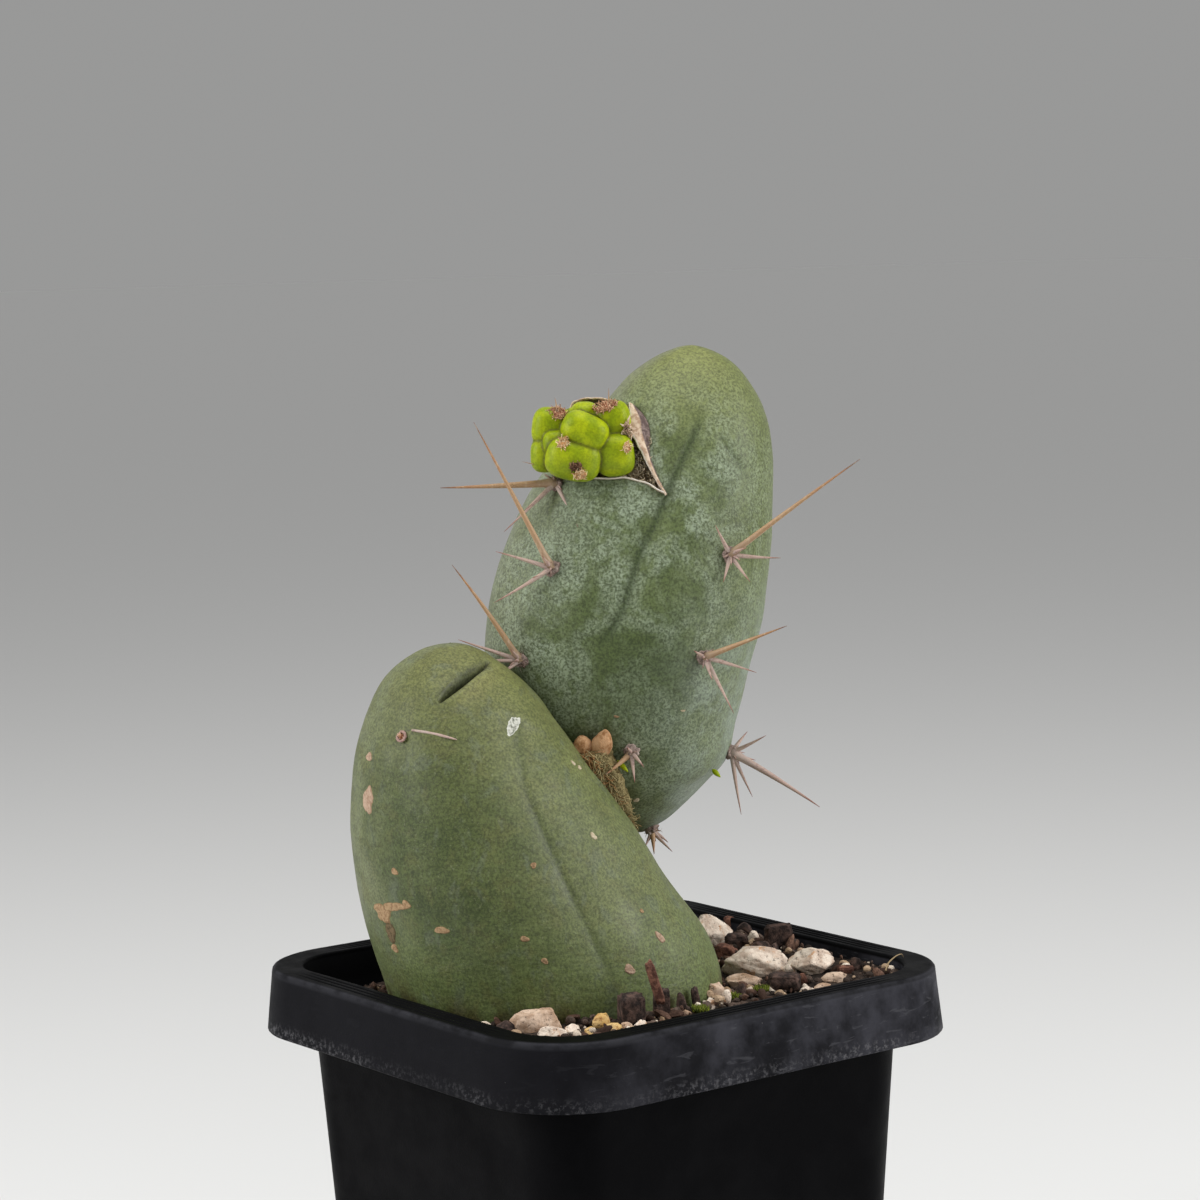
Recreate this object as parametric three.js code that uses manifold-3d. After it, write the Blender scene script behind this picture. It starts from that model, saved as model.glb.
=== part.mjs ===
// A monstrose torch cactus in a square nursery pot.
// Millimetres, +Z up, origin at the middle of the pot's flat bottom, pot sides along X and Y.
// The plant, stones and bark are placed in a frame turned about Z, in which X runs to the right,
// Y away from the viewer and Z up, as the plant is seen from its best side.

import * as THREE from 'three';
import Module from 'manifold-3d';
import { mergeVertices } from 'three/addons/utils/BufferGeometryUtils.js';

const wasm = await Module();
wasm.setup();

// Driving dimensions
const GAP = 0.3;
const ROOM = GAP + 0.06;
const BUD_ROOM = GAP + 0.1;
const VIEW_TURN = THREE.MathUtils.degToRad(52.9);

const POT = {
  height: 75,
  topSide: 78,
  skirtSide: 80,
  skirtHeight: 9.5,
  skirtWall: 0.9,
  ringWall: 1.2,
  openingSide: 68.6,
  collarWall: 1.1,
  collarDepth: 8,
  bodySideAtRim: 67.5,
  bodyWall: 1.2,
  taper: 0.0635,
  floor: 1.6,
  drainRadius: 3.5,
  drainOffset: 16,
};

const SOIL = {
  level: 71.6,
  backRise: 1.8,
  leftDrop: 0.09,
  relief: 0.45,
  grit: 36,
  cornerRadius: 7,
  rings: [1, 0.84, 0.68, 0.52, 0.36, 0.18],
};

// Each row is one ring of a stem: height along its axis, left and right edge, half depth.
const LOWER_STEM = {
  rows: [
    [57, -16, 2, 9],
    [60, -25, 11, 17],
    [66, -29.5, 16, 20.5],
    [72, -31.2, 17, 21.5],
    [80, -33.5, 14.8, 22],
    [88, -35, 9.3, 21.5],
    [96, -35.8, 4.7, 20],
    [104, -35.5, -0.9, 18],
    [110, -34.4, -5, 15.5],
    [116, -32.1, -9, 12],
    [120, -29.2, -13.2, 8.3],
    [122.6, -25.2, -17, 4.3],
    [123.6, -20.9, -20.9, 0],
  ],
  foot: [0, -1, 0],
  lean: 0,
  ribDepth: 0.05,
  valley: 294,
  twist: 0,
};

const UPPER_STEM = {
  rows: [
    [-0.5, -1.6, -1.6, 0],
    [1.5, -8, 2, 5],
    [4, -12.7, 4.5, 8.5],
    [8, -17.5, 8, 12],
    [12, -20.5, 11, 14],
    [18, -24.5, 12, 16],
    [26, -26.4, 13.5, 17.5],
    [34, -26.3, 15, 18],
    [42, -24.7, 15.2, 17.5],
    [50, -21.6, 15, 16],
    [58, -16.6, 14.4, 13.5],
    [64, -11.7, 13.1, 10.8],
    [69, -7.8, 10.3, 7.5],
    [72.3, -3.5, 6.5, 4],
    [73.8, 1.2, 1.2, 0],
  ],
  foot: [7.6, 15, 92.3],
  lean: 5.7,
  ribDepth: 0.05,
  valley: 240,
  twist: 40,
};

const CORNER_STEPS = 5;
const RIBS = 4;
const STEM_SIDES = 32;
const LOWER_RINGS = 24;
const UPPER_RINGS = 26;

// The fold at the lower stem's crown runs between two places on its skin.
const SLIT = {
  from: { along: 0.76, around: 262 },
  to: { along: 0.84, around: 324 },
  overrun: 2,
  width: 1.5,
  depth: 3.6,
};

// Bumps of the bud: middle and half sizes to the right, away and up.
const BUD_BUMPS = [
  [-5.6, 4, 154.6, 2.5, 2.7, 3],
  [-0.4, 0.2, 154.2, 3.3, 2.8, 2.6],
  [-0.6, 5, 156.6, 2.6, 2.8, 2.1],
  [4.1, 4, 155.6, 2.3, 2.6, 2.8],
  [4, 1.4, 150.3, 2.9, 2.8, 3.1],
  [-2.2, 0.2, 150, 4.2, 3, 3.1],
  [-6.4, 3.6, 150.4, 2.1, 2.6, 2.5],
  [-3.6, 6.5, 152.6, 3.4, 3, 3.6],
];
const BUD_CORE = [-0.6, 5.2, 152.6, 5.8, 4.6, 4.8];

// Woolly points of the bud, each with the way its tiny spines look.
const BUD_AREOLES = [
  { at: [-4.2, 2.4, 156.9], out: [-0.3, -0.3, 0.9], size: 0.9, spine: 2.2 },
  { at: [2, 3.4, 157.3], out: [0.4, -0.2, 0.9], size: 0.9, spine: 2.4 },
  { at: [-3.4, -1.7, 152.5], out: [-0.2, -0.95, 0.2], size: 0.8, spine: 1.4 },
  { at: [-1.6, -2.2, 148.9], out: [0, -0.9, -0.4], size: 1, spine: 1.2 },
  { at: [6.2, 1.6, 151.6], out: [0.8, -0.6, 0.1], size: 0.8, spine: 1.6 },
];

// The torn skin's edge round the bud: place on the upper stem and how far it stands up.
const SKIN_EDGE = [
  { along: 0.785, around: 190, lip: 1.3 },
  { along: 0.795, around: 207, lip: 1.5 },
  { along: 0.785, around: 225, lip: 1.9 },
  { along: 0.745, around: 243, lip: 2.3 },
  { along: 0.7, around: 258, lip: 2 },
  { along: 0.662, around: 271, lip: 1.3 },
  { along: 0.672, around: 256, lip: 1 },
  { along: 0.678, around: 240, lip: 0.9 },
];

// Areoles: place on the stem and the steps right, away and up from it to each spine's tip.
const AREOLES = [
  { name: 'areole_left_middle', along: 0.555, around: 234,
    tips: [[-10.8, -5, 22], [-8.2, -3, 3], [-8.7, -2, -4.6], [-3, -3.2, -1], [-1.5, -2.6, 2.2]] },
  { name: 'areole_left_low', along: 0.44, around: 226,
    tips: [[-9.6, -6, 14.2], [-9.1, -4, 3], [-5.1, -3, 0], [-3.2, -3, -2.4], [-1.5, -3, 1.5]] },
  { name: 'areole_left_high', along: 0.662, around: 217, thick: true,
    tips: [[-17, -7, 0.4], [-8, -4, -6.5], [2.9, -5.2, -6], [-5, -5, -3.5]] },
  { name: 'areole_right_high', along: 0.59, around: 308,
    tips: [[19, -7, 14], [-1.9, -3, 4.6], [7.5, -3, -0.4], [3, -3, -3.8], [-0.9, -2.4, -3.8],
      [2.6, -3, 1.2]] },
  { name: 'areole_right_low', along: 0.455, around: 304,
    tips: [[12, -7, 5], [7.6, -4, -2.1], [4.2, -3.5, -8.1], [-1.4, -2.6, 1.2], [1.2, -3, -3.2]] },
  { name: 'areole_right_edge', along: 0.3, around: 354, thick: true,
    tips: [[13.4, -4, -8.2], [5.6, -2, 2.6], [3, 2.5, 2.6], [4.2, 3.5, -2], [3.4, -1.6, -6.8],
      [1.6, -2.6, -9.3]] },
  { name: 'areole_foot', along: 0.055, around: 326,
    tips: [[0.4, -2.5, -3.6], [3.2, -2, -3.4], [3, -0.6, -2.2], [-1, -2, -2.6]] },
  { name: 'areole_joint', along: 0.315, around: 276,
    tips: [[-3, -3.4, -2.6], [0.4, -3.2, -4.2], [1.8, -3, -2], [-0.6, -3.4, 1]] },
];

// Far-side areoles of the upper stem: places only, their spines follow a seeded rule.
const FAR_AREOLES = [
  { name: 'areole_far_a', along: 0.42, around: 56 },
  { name: 'areole_far_b', along: 0.57, around: 52 },
  { name: 'areole_far_c', along: 0.71, around: 60 },
  { name: 'areole_far_d', along: 0.36, around: 124 },
  { name: 'areole_far_e', along: 0.52, around: 118 },
  { name: 'areole_far_f', along: 0.67, around: 108 },
];

// Worn areoles of the lower stem, with short stubs only.
const WORN_AREOLES = [
  { name: 'areole_worn_front', along: 0.69, around: 238 },
  { name: 'areole_worn_left', along: 0.515, around: 156 },
  { name: 'areole_worn_back_a', along: 0.42, around: 118 },
  { name: 'areole_worn_back_b', along: 0.5, around: 62 },
];
const LOOSE_SPINE = {
  from: { along: 0.695, around: 246 },
  to: { along: 0.688, around: 272 },
  radius: 0.3,
};

const THICK_SPINE_RADIUS = 0.62;
const LONG_SPINE_RADIUS = 0.5;
const SHORT_SPINE_RADIUS = 0.34;
const BUD_SPINE_RADIUS = 0.28;
const CUSHION_RADIUS = 1.35;
const WORN_CUSHION_RADIUS = 0.95;
const CUSHION_LIFT = 0.55;

const TORN_SKIN = { thickness: 0.6, rooted: 0.4, rise: 0.85, spread: 0.5, steps: 16 };

// Corky lumps of the joint: middle and radius.
const CORK_LUMPS = [
  [-2.7, -0.6, 108.5, 1.8],
  [0.9, -1.5, 108.9, 2.1],
  [-0.6, -0.8, 106, 2.3],
  [0.3, -0.1, 103.9, 2.2],
  [1.1, 0.6, 101.9, 2.1],
  [2, 1.6, 99.9, 2],
  [3.1, 2.9, 97.9, 1.8],
  [4.2, 4.3, 95.7, 1.6],
];

// Stones on the soil: middle (right, away), how high it stands, size in three ways and turn in degrees.
const STONES = [
  { name: 'stone_back', at: [16.9, 20.8], rise: 1.7, size: [7.3, 5, 6], turn: 8, tone: 'cream' },
  { name: 'stone_large', at: [23.2, 3.9], rise: 1.2, size: [10.2, 6, 5], turn: 0, tone: 'cream' },
  { name: 'stone_right', at: [31.2, 1], rise: 1.1, size: [6.8, 5, 4.6], turn: 10, tone: 'cream' },
  { name: 'stone_front', at: [-9.3, -26], rise: 0.6, size: [7.8, 4.2, 4.4], turn: 0, tone: 'tan' },
  { name: 'stone_front_small', at: [-6.9, -29.5], rise: -0.1, size: [4.3, 2.2, 2.4], turn: 0, tone: 'cream' },
  { name: 'stone_yellow', at: [-0.1, -25.6], rise: 0.4, size: [2.6, 2.2, 3], turn: 0, tone: 'ochre' },
  { name: 'stone_flat', at: [21.1, -1.8], rise: 0, size: [5.5, 3.4, 2.6], turn: 0, tone: 'tan' },
  { name: 'stone_right_rim', at: [34.2, -4.9], rise: 0.2, size: [4, 2.4, 1.8], turn: 6, tone: 'tan' },
  { name: 'stone_far_a', at: [2, 32], rise: 1, size: [6.4, 5, 4], turn: 20, tone: 'cream' },
  { name: 'stone_far_b', at: [-6, 29.5], rise: 0.8, size: [5, 4.4, 3.4], turn: 60, tone: 'tan' },
  { name: 'stone_far_c', at: [-14, 25], rise: 1, size: [6, 4.6, 4], turn: 100, tone: 'cream' },
  { name: 'stone_far_d', at: [10, 35], rise: 0.7, size: [4.4, 3.6, 3], turn: 140, tone: 'ochre' },
  { name: 'stone_left', at: [-39, 1.4], rise: 0.7, size: [4.2, 3.6, 3], turn: 30, tone: 'tan' },
  { name: 'stone_front_left', at: [-17, -24.2], rise: 0.5, size: [2.8, 1.8, 1.8], turn: 0, tone: 'cream' },
];

// Bark: middle (right, away, up), size in three ways, lean and turn in degrees.
const BARK = [
  { name: 'bark_lump', at: [4.2, -24.4, 73.5], size: [3.8, 3, 5], lean: 6, turn: 10 },
  { name: 'bark_stick', at: [7.9, -23.6, 77], size: [1.4, 1.3, 7.4], lean: 20, turn: -90 },
  { name: 'bark_chip', at: [8.5, -21.4, 73.6], size: [2.4, 1.6, 5], lean: 5, turn: 10 },
  { name: 'bark_flake', at: [27.1, 15.3, 74.6], size: [4.6, 1.5, 5.2], lean: 12, turn: 14 },
  { name: 'bark_back', at: [20.9, 17, 73.9], size: [3.7, 2, 3], lean: 10, turn: 8 },
  { name: 'bark_red', at: [36.2, -1.6, 73.3], size: [2.6, 1.4, 1.6], lean: 10, turn: 20 },
  { name: 'bark_right', at: [26.8, -7.2, 73.1], size: [5, 2.8, 2.6], lean: 8, turn: -10 },
  { name: 'bark_far', at: [6, 24.4, 72.6], size: [6.6, 2.4, 2], lean: 6, turn: 35 },
];

const PLASTIC = new THREE.MeshStandardMaterial({ color: 0x17181b, roughness: 0.45, metalness: 0 });
const EARTH = new THREE.MeshStandardMaterial({ color: 0x2e2219, roughness: 0.95, metalness: 0 });
const LOWER_GREEN = new THREE.MeshStandardMaterial({ color: 0x56693c, roughness: 0.6, metalness: 0 });
const UPPER_GREEN = new THREE.MeshStandardMaterial({ color: 0x6b8a5c, roughness: 0.65, metalness: 0 });
const BUD_GREEN = new THREE.MeshStandardMaterial({ color: 0x86a822, roughness: 0.4, metalness: 0 });
const CORK = new THREE.MeshStandardMaterial({ color: 0x7d6040, roughness: 0.9, metalness: 0 });
const DRY_SKIN = new THREE.MeshStandardMaterial({ color: 0xd8c9ab, roughness: 0.85, metalness: 0 });
const SPINE_TAN = new THREE.MeshStandardMaterial({ color: 0xa9805c, roughness: 0.5, metalness: 0 });
const BARK_BROWN = new THREE.MeshStandardMaterial({ color: 0x4a2f22, roughness: 0.9, metalness: 0 });
const STONE_TONES = {
  cream: new THREE.MeshStandardMaterial({ color: 0xd9cdb8, roughness: 0.85, metalness: 0 }),
  tan: new THREE.MeshStandardMaterial({ color: 0xb89e7c, roughness: 0.85, metalness: 0 }),
  ochre: new THREE.MeshStandardMaterial({ color: 0xc49a4a, roughness: 0.85, metalness: 0 }),
};

// Small tools

function seededRandom(seed) {
  let state = seed >>> 0;
  return () => {
    state = (state + 0x6d2b79f5) >>> 0;
    let mixed = Math.imul(state ^ (state >>> 15), 1 | state);
    mixed ^= mixed + Math.imul(mixed ^ (mixed >>> 7), 61 | mixed);
    return ((mixed ^ (mixed >>> 14)) >>> 0) / 4294967296;
  };
}

function positionsOnly(geometry) {
  const bare = geometry.clone();
  bare.deleteAttribute('normal');
  bare.deleteAttribute('uv');
  return mergeVertices(bare, 1e-4);
}

function toSolid(geometry) {
  const merged = positionsOnly(geometry);
  const mesh = new wasm.Mesh({
    numProp: 3,
    vertProperties: new Float32Array(merged.attributes.position.array),
    triVerts: new Uint32Array(merged.index.array),
  });
  return new wasm.Manifold(mesh);
}

function toGeometry(solid) {
  const mesh = solid.getMesh();
  const geometry = new THREE.BufferGeometry();
  geometry.setAttribute('position', new THREE.BufferAttribute(new Float32Array(mesh.vertProperties), 3));
  geometry.setIndex(new THREE.BufferAttribute(new Uint32Array(mesh.triVerts), 1));
  return geometry;
}

// A copy of a closed surface pushed outwards, used to keep neighbours a gap apart.
function inflated(geometry, distance) {
  const merged = positionsOnly(geometry);
  merged.computeVertexNormals();
  const place = merged.attributes.position;
  const normal = merged.attributes.normal;
  for (let i = 0; i < place.count; i += 1) {
    place.setXYZ(
      i,
      place.getX(i) + normal.getX(i) * distance,
      place.getY(i) + normal.getY(i) * distance,
      place.getZ(i) + normal.getZ(i) * distance,
    );
  }
  return merged;
}

// Only the largest body of a cut solid is kept, so no loose scrap is left.
function largestBody(solid) {
  const bodies = solid.decompose();
  bodies.sort((a, b) => b.volume() - a.volume());
  return bodies[0];
}

function joined(solids) {
  return solids.reduce((sum, solid) => sum.add(solid));
}

// A closed surface through rings with equal numbers of points; each end closes on one point.
function loft(rings, startPoint, endPoint) {
  const count = rings[0].length;
  const points = [startPoint, ...rings.flat(), endPoint];
  const index = [];
  const at = (ring, step) => 1 + ring * count + (step % count);
  for (let step = 0; step < count; step += 1) {
    index.push(0, at(0, step + 1), at(0, step));
    for (let ring = 0; ring < rings.length - 1; ring += 1) {
      const a = at(ring, step);
      const b = at(ring, step + 1);
      const c = at(ring + 1, step);
      const d = at(ring + 1, step + 1);
      index.push(a, b, d, a, d, c);
    }
    index.push(points.length - 1, at(rings.length - 1, step), at(rings.length - 1, step + 1));
  }
  const geometry = new THREE.BufferGeometry().setFromPoints(points);
  geometry.setIndex(index);
  return geometry;
}

// Pot and soil

function roundedSquare(half, radius, z) {
  const ring = [];
  for (let corner = 0; corner < 4; corner += 1) {
    const start = corner * Math.PI / 2;
    const middle = new THREE.Vector2(half - radius, half - radius);
    middle.rotateAround(new THREE.Vector2(), start);
    for (let step = 0; step <= CORNER_STEPS; step += 1) {
      const angle = start + step / CORNER_STEPS * Math.PI / 2;
      ring.push(new THREE.Vector3(
        middle.x + radius * Math.cos(angle),
        middle.y + radius * Math.sin(angle),
        z,
      ));
    }
  }
  return ring;
}

const bodyHalf = (z) => POT.bodySideAtRim / 2 - POT.taper * (POT.height - z);

function potGeometry() {
  const top = POT.height;
  const ledge = top - POT.collarDepth;
  const skirtEnd = top - POT.skirtHeight;
  const topHalf = POT.topSide / 2;
  const skirtHalf = POT.skirtSide / 2;
  const opening = POT.openingSide / 2;
  const rings = [
    roundedSquare(bodyHalf(0), 6.4, 0),
    roundedSquare(bodyHalf(ledge), 8.6, ledge),
    roundedSquare(opening - 0.2 + POT.collarWall, 9.6, ledge + 0.6),
    roundedSquare(opening + POT.collarWall, 9.9, top - POT.ringWall),
    roundedSquare(topHalf - POT.skirtWall, 12.8, top - POT.ringWall),
    roundedSquare(skirtHalf - POT.skirtWall, 13.8, skirtEnd),
    roundedSquare(skirtHalf, 14.7, skirtEnd),
    roundedSquare(topHalf + 0.05, 13.8, top - 0.5),
    roundedSquare(topHalf - 0.5, 13.3, top),
    roundedSquare(opening + 0.3, 9.1, top),
    roundedSquare(opening, 8.8, top - 0.4),
    roundedSquare(opening - 0.2, 8.6, ledge + 1),
    roundedSquare(bodyHalf(ledge) - POT.bodyWall, 7.4, ledge - 0.6),
    roundedSquare(bodyHalf(POT.floor) - POT.bodyWall, 5.4, POT.floor),
  ];
  return loft(rings, new THREE.Vector3(0, 0, 0), new THREE.Vector3(0, 0, POT.floor));
}

function makePot() {
  let pot = toSolid(potGeometry());
  for (const [x, y] of [[1, 1], [-1, 1], [-1, -1], [1, -1]]) {
    const drain = new THREE.CylinderGeometry(POT.drainRadius, POT.drainRadius, 4 * POT.floor, 16);
    drain.rotateX(Math.PI / 2);
    drain.translate(x * POT.drainOffset, y * POT.drainOffset, POT.floor);
    pot = pot.subtract(toSolid(drain));
  }
  return toGeometry(pot);
}

// How high the soil stands at a place in the plant's frame.
function soilHeight(right, away) {
  const back = right * Math.sin(VIEW_TURN) + away * Math.cos(VIEW_TURN);
  const rise = SOIL.backRise * THREE.MathUtils.smoothstep(back, 10, 34);
  const drop = SOIL.leftDrop * Math.max(0, -right - 10);
  return SOIL.level + rise - drop;
}

function soilGeometry() {
  const random = seededRandom(41);
  const base = POT.floor + ROOM;
  const topZ = POT.height - POT.collarDepth - 0.6;
  const innerHalf = (z) => bodyHalf(z) - POT.bodyWall - ROOM;
  const rings = [
    roundedSquare(innerHalf(base), 5, base),
    roundedSquare(innerHalf(topZ), SOIL.cornerRadius, topZ),
  ];
  for (const share of SOIL.rings) {
    const ring = roundedSquare(innerHalf(topZ) * share, SOIL.cornerRadius * share, 0);
    for (const point of ring) {
      const seen = point.clone().applyAxisAngle(new THREE.Vector3(0, 0, 1), -VIEW_TURN);
      point.z = soilHeight(seen.x, seen.y) + (random() - 0.5) * 2 * SOIL.relief;
    }
    rings.push(ring);
  }
  return loft(rings, new THREE.Vector3(0, 0, base), new THREE.Vector3(0, 0, SOIL.level));
}

function pebbleGeometry(size, seed, detail, roughness) {
  const random = seededRandom(seed);
  const geometry = positionsOnly(new THREE.IcosahedronGeometry(0.5, detail));
  const place = geometry.attributes.position;
  for (let i = 0; i < place.count; i += 1) {
    const swell = 1 - roughness + 2 * roughness * random();
    place.setXYZ(i, place.getX(i) * swell, place.getY(i) * swell, place.getZ(i) * swell);
  }
  geometry.scale(...size);
  return geometry;
}

function makeSoil(insideFrame) {
  const random = seededRandom(7);
  let soil = toSolid(soilGeometry().rotateZ(-VIEW_TURN));
  const reach = POT.openingSide / 2 - 6;
  for (let i = 0; i < SOIL.grit; i += 1) {
    const side = new THREE.Vector3((random() * 2 - 1) * reach, (random() * 2 - 1) * reach, 0);
    const seen = side.applyAxisAngle(new THREE.Vector3(0, 0, 1), -VIEW_TURN);
    const size = 1.6 + 1.4 * random();
    const grain = pebbleGeometry([size * 1.2, size, size * 0.9], 900 + i, 0, 0.12);
    grain.translate(seen.x, seen.y, soilHeight(seen.x, seen.y) + 0.1 * size);
    soil = soil.add(toSolid(grain));
  }
  for (const other of insideFrame) {
    soil = soil.subtract(toSolid(inflated(other, ROOM)));
  }
  return toGeometry(largestBody(soil));
}

// Stems

// Smooth value between rows that are evenly spaced along the stem.
function between(rows, along) {
  const last = rows.length - 1;
  const spot = THREE.MathUtils.clamp(along * last, 0, last - 1e-9);
  const i = Math.floor(spot);
  const u = spot - i;
  const row = (k) => rows[THREE.MathUtils.clamp(k, 0, last)];
  return rows[0].map((_, column) => {
    const a = row(i - 1)[column];
    const b = row(i)[column];
    const c = row(i + 1)[column];
    const d = row(i + 2)[column];
    const square = 2 * a - 5 * b + 4 * c - d;
    const cube = 3 * b - a - 3 * c + d;
    return 0.5 * (2 * b + (c - a) * u + square * u * u + cube * u * u * u);
  });
}

// A point on a stem's skin; around is in degrees, 0 right, 90 away, 180 left, 270 front.
function stemPoint(stem, along, around) {
  const [height, left, right, depth] = between(stem.rows, along);
  const angle = THREE.MathUtils.degToRad(around);
  const valley = THREE.MathUtils.degToRad(stem.valley + stem.twist * along);
  const swell = 1 + stem.ribDepth * (1 - Math.cos(RIBS * (angle - valley))) / 2;
  const sideways = (left + right) / 2 + (right - left) / 2 * Math.cos(angle) * swell;
  const away = depth * Math.sin(angle) * swell;
  const lean = THREE.MathUtils.degToRad(stem.lean);
  return new THREE.Vector3(
    stem.foot[0] + sideways * Math.cos(lean) + height * Math.sin(lean),
    stem.foot[1] + away,
    stem.foot[2] - sideways * Math.sin(lean) + height * Math.cos(lean),
  );
}

function stemNormal(stem, along, around) {
  const upward = stemPoint(stem, along + 0.01, around).sub(stemPoint(stem, along - 0.01, around));
  const sideways = stemPoint(stem, along, around + 2).sub(stemPoint(stem, along, around - 2));
  return sideways.cross(upward).normalize();
}

function stemGeometry(stem, ringCount) {
  const rings = [];
  for (let i = 1; i < ringCount; i += 1) {
    const ring = [];
    for (let side = 0; side < STEM_SIDES; side += 1) {
      ring.push(stemPoint(stem, i / ringCount, side * 360 / STEM_SIDES));
    }
    rings.push(ring);
  }
  const [low] = between(stem.rows, 0);
  const foot = stemPoint(stem, 0, 0).add(stemPoint(stem, 0, 180)).multiplyScalar(0.5);
  foot.z = Math.min(foot.z, low + stem.foot[2]);
  return loft(rings, foot, stemPoint(stem, 1, 0));
}

function slitGeometry() {
  const start = stemPoint(LOWER_STEM, SLIT.from.along, SLIT.from.around);
  const end = stemPoint(LOWER_STEM, SLIT.to.along, SLIT.to.around);
  const middle = start.clone().add(end).multiplyScalar(0.5);
  const run = end.clone().sub(start);
  const midAlong = (SLIT.from.along + SLIT.to.along) / 2;
  const midAround = (SLIT.from.around + SLIT.to.around) / 2;
  const out = stemNormal(LOWER_STEM, midAlong, midAround);
  const along = run.clone().normalize();
  const across = out.clone().cross(along).normalize();
  const inward = along.clone().cross(across);
  const slit = new THREE.IcosahedronGeometry(0.5, 2);
  slit.scale(run.length() + SLIT.overrun, SLIT.width, 2 * SLIT.depth);
  slit.applyMatrix4(new THREE.Matrix4().makeBasis(along, across, inward));
  slit.translate(middle.x, middle.y, middle.z);
  return slit;
}

function ellipsoid([x, y, z, halfX, halfY, halfZ], detail) {
  const ball = new THREE.IcosahedronGeometry(1, detail);
  ball.scale(halfX, halfY, halfZ);
  ball.translate(x, y, z);
  return ball;
}

// A slim cone from its root to its tip.
function spineGeometry(root, tip, radius) {
  const way = tip.clone().sub(root);
  const spine = new THREE.ConeGeometry(radius, way.length(), 4, 1);
  spine.translate(0, way.length() / 2, 0);
  const upright = new THREE.Vector3(0, 1, 0);
  spine.applyQuaternion(new THREE.Quaternion().setFromUnitVectors(upright, way.clone().normalize()));
  spine.translate(root.x, root.y, root.z);
  return spine;
}

// A woolly cushion with its spines, cut clear of what it sits on.
function areoleGeometry(stem, areole, carriers) {
  const seat = stemPoint(stem, areole.along, areole.around);
  const out = stemNormal(stem, areole.along, areole.around);
  const size = areole.cushion ?? CUSHION_RADIUS;
  const heart = seat.clone().addScaledVector(out, CUSHION_LIFT);
  const cushion = ellipsoid([heart.x, heart.y, heart.z, size, size, size], 0);
  const parts = [toSolid(cushion)];
  areole.tips.forEach((step, order) => {
    const tip = seat.clone().add(new THREE.Vector3(...step));
    const longRadius = areole.thick ? THICK_SPINE_RADIUS : LONG_SPINE_RADIUS;
    parts.push(toSolid(spineGeometry(heart, tip, order === 0 ? longRadius : SHORT_SPINE_RADIUS)));
  });
  let cluster = joined(parts);
  for (const carrier of carriers) {
    cluster = cluster.subtract(carrier);
  }
  return toGeometry(largestBody(cluster));
}

// Spine tips by rule: one long spine away from the viewer and a little up, shorter ones round it.
function ruledTips(stem, areole, seed) {
  const random = seededRandom(seed);
  const out = stemNormal(stem, areole.along, areole.around);
  const up = new THREE.Vector3(0, 0, 1).addScaledVector(out, -out.z).normalize();
  const side = new THREE.Vector3().crossVectors(out, up);
  const central = out.clone().lerp(new THREE.Vector3(0, 1, 0), 0.65).multiplyScalar(13 + 5 * random());
  central.addScaledVector(up, 2 + 5 * random()).addScaledVector(side, 4 * (random() - 0.5));
  const tips = [central.toArray()];
  const radials = 5;
  for (let i = 0; i < radials; i += 1) {
    const angle = (i + 0.4 * random()) / radials * 2 * Math.PI;
    const length = 3.4 + 3 * random();
    const tip = out.clone().multiplyScalar(2.4);
    tip.addScaledVector(up, length * Math.sin(angle)).addScaledVector(side, length * Math.cos(angle));
    tips.push(tip.toArray());
  }
  return tips;
}

function stubTips(stem, areole, seed) {
  const random = seededRandom(seed);
  const out = stemNormal(stem, areole.along, areole.around);
  const tips = [];
  for (let i = 0; i < 3; i += 1) {
    const tip = out.clone().multiplyScalar(1.9);
    tip.add(new THREE.Vector3(random() - 0.5, random() - 0.5, random() - 0.5).multiplyScalar(1.6));
    tips.push(tip.toArray());
  }
  return tips;
}

function budSolid() {
  const parts = [toSolid(ellipsoid(BUD_CORE, 1))];
  for (const bump of BUD_BUMPS) {
    parts.push(toSolid(ellipsoid(bump, 1)));
  }
  return joined(parts);
}

function budWithAreoles() {
  const random = seededRandom(23);
  const parts = [budSolid()];
  for (const areole of BUD_AREOLES) {
    const seat = new THREE.Vector3(...areole.at);
    const out = new THREE.Vector3(...areole.out).normalize();
    parts.push(toSolid(ellipsoid([...areole.at, areole.size, areole.size, areole.size], 0)));
    for (let i = 0; i < 3; i += 1) {
      const way = out.clone().add(new THREE.Vector3(random() - 0.5, random() - 0.5, random() - 0.5));
      const length = areole.size + areole.spine * (0.6 + 0.4 * random());
      const tip = seat.clone().addScaledVector(way.normalize(), length);
      parts.push(toSolid(spineGeometry(seat, tip, BUD_SPINE_RADIUS)));
    }
  }
  return joined(parts);
}

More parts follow.
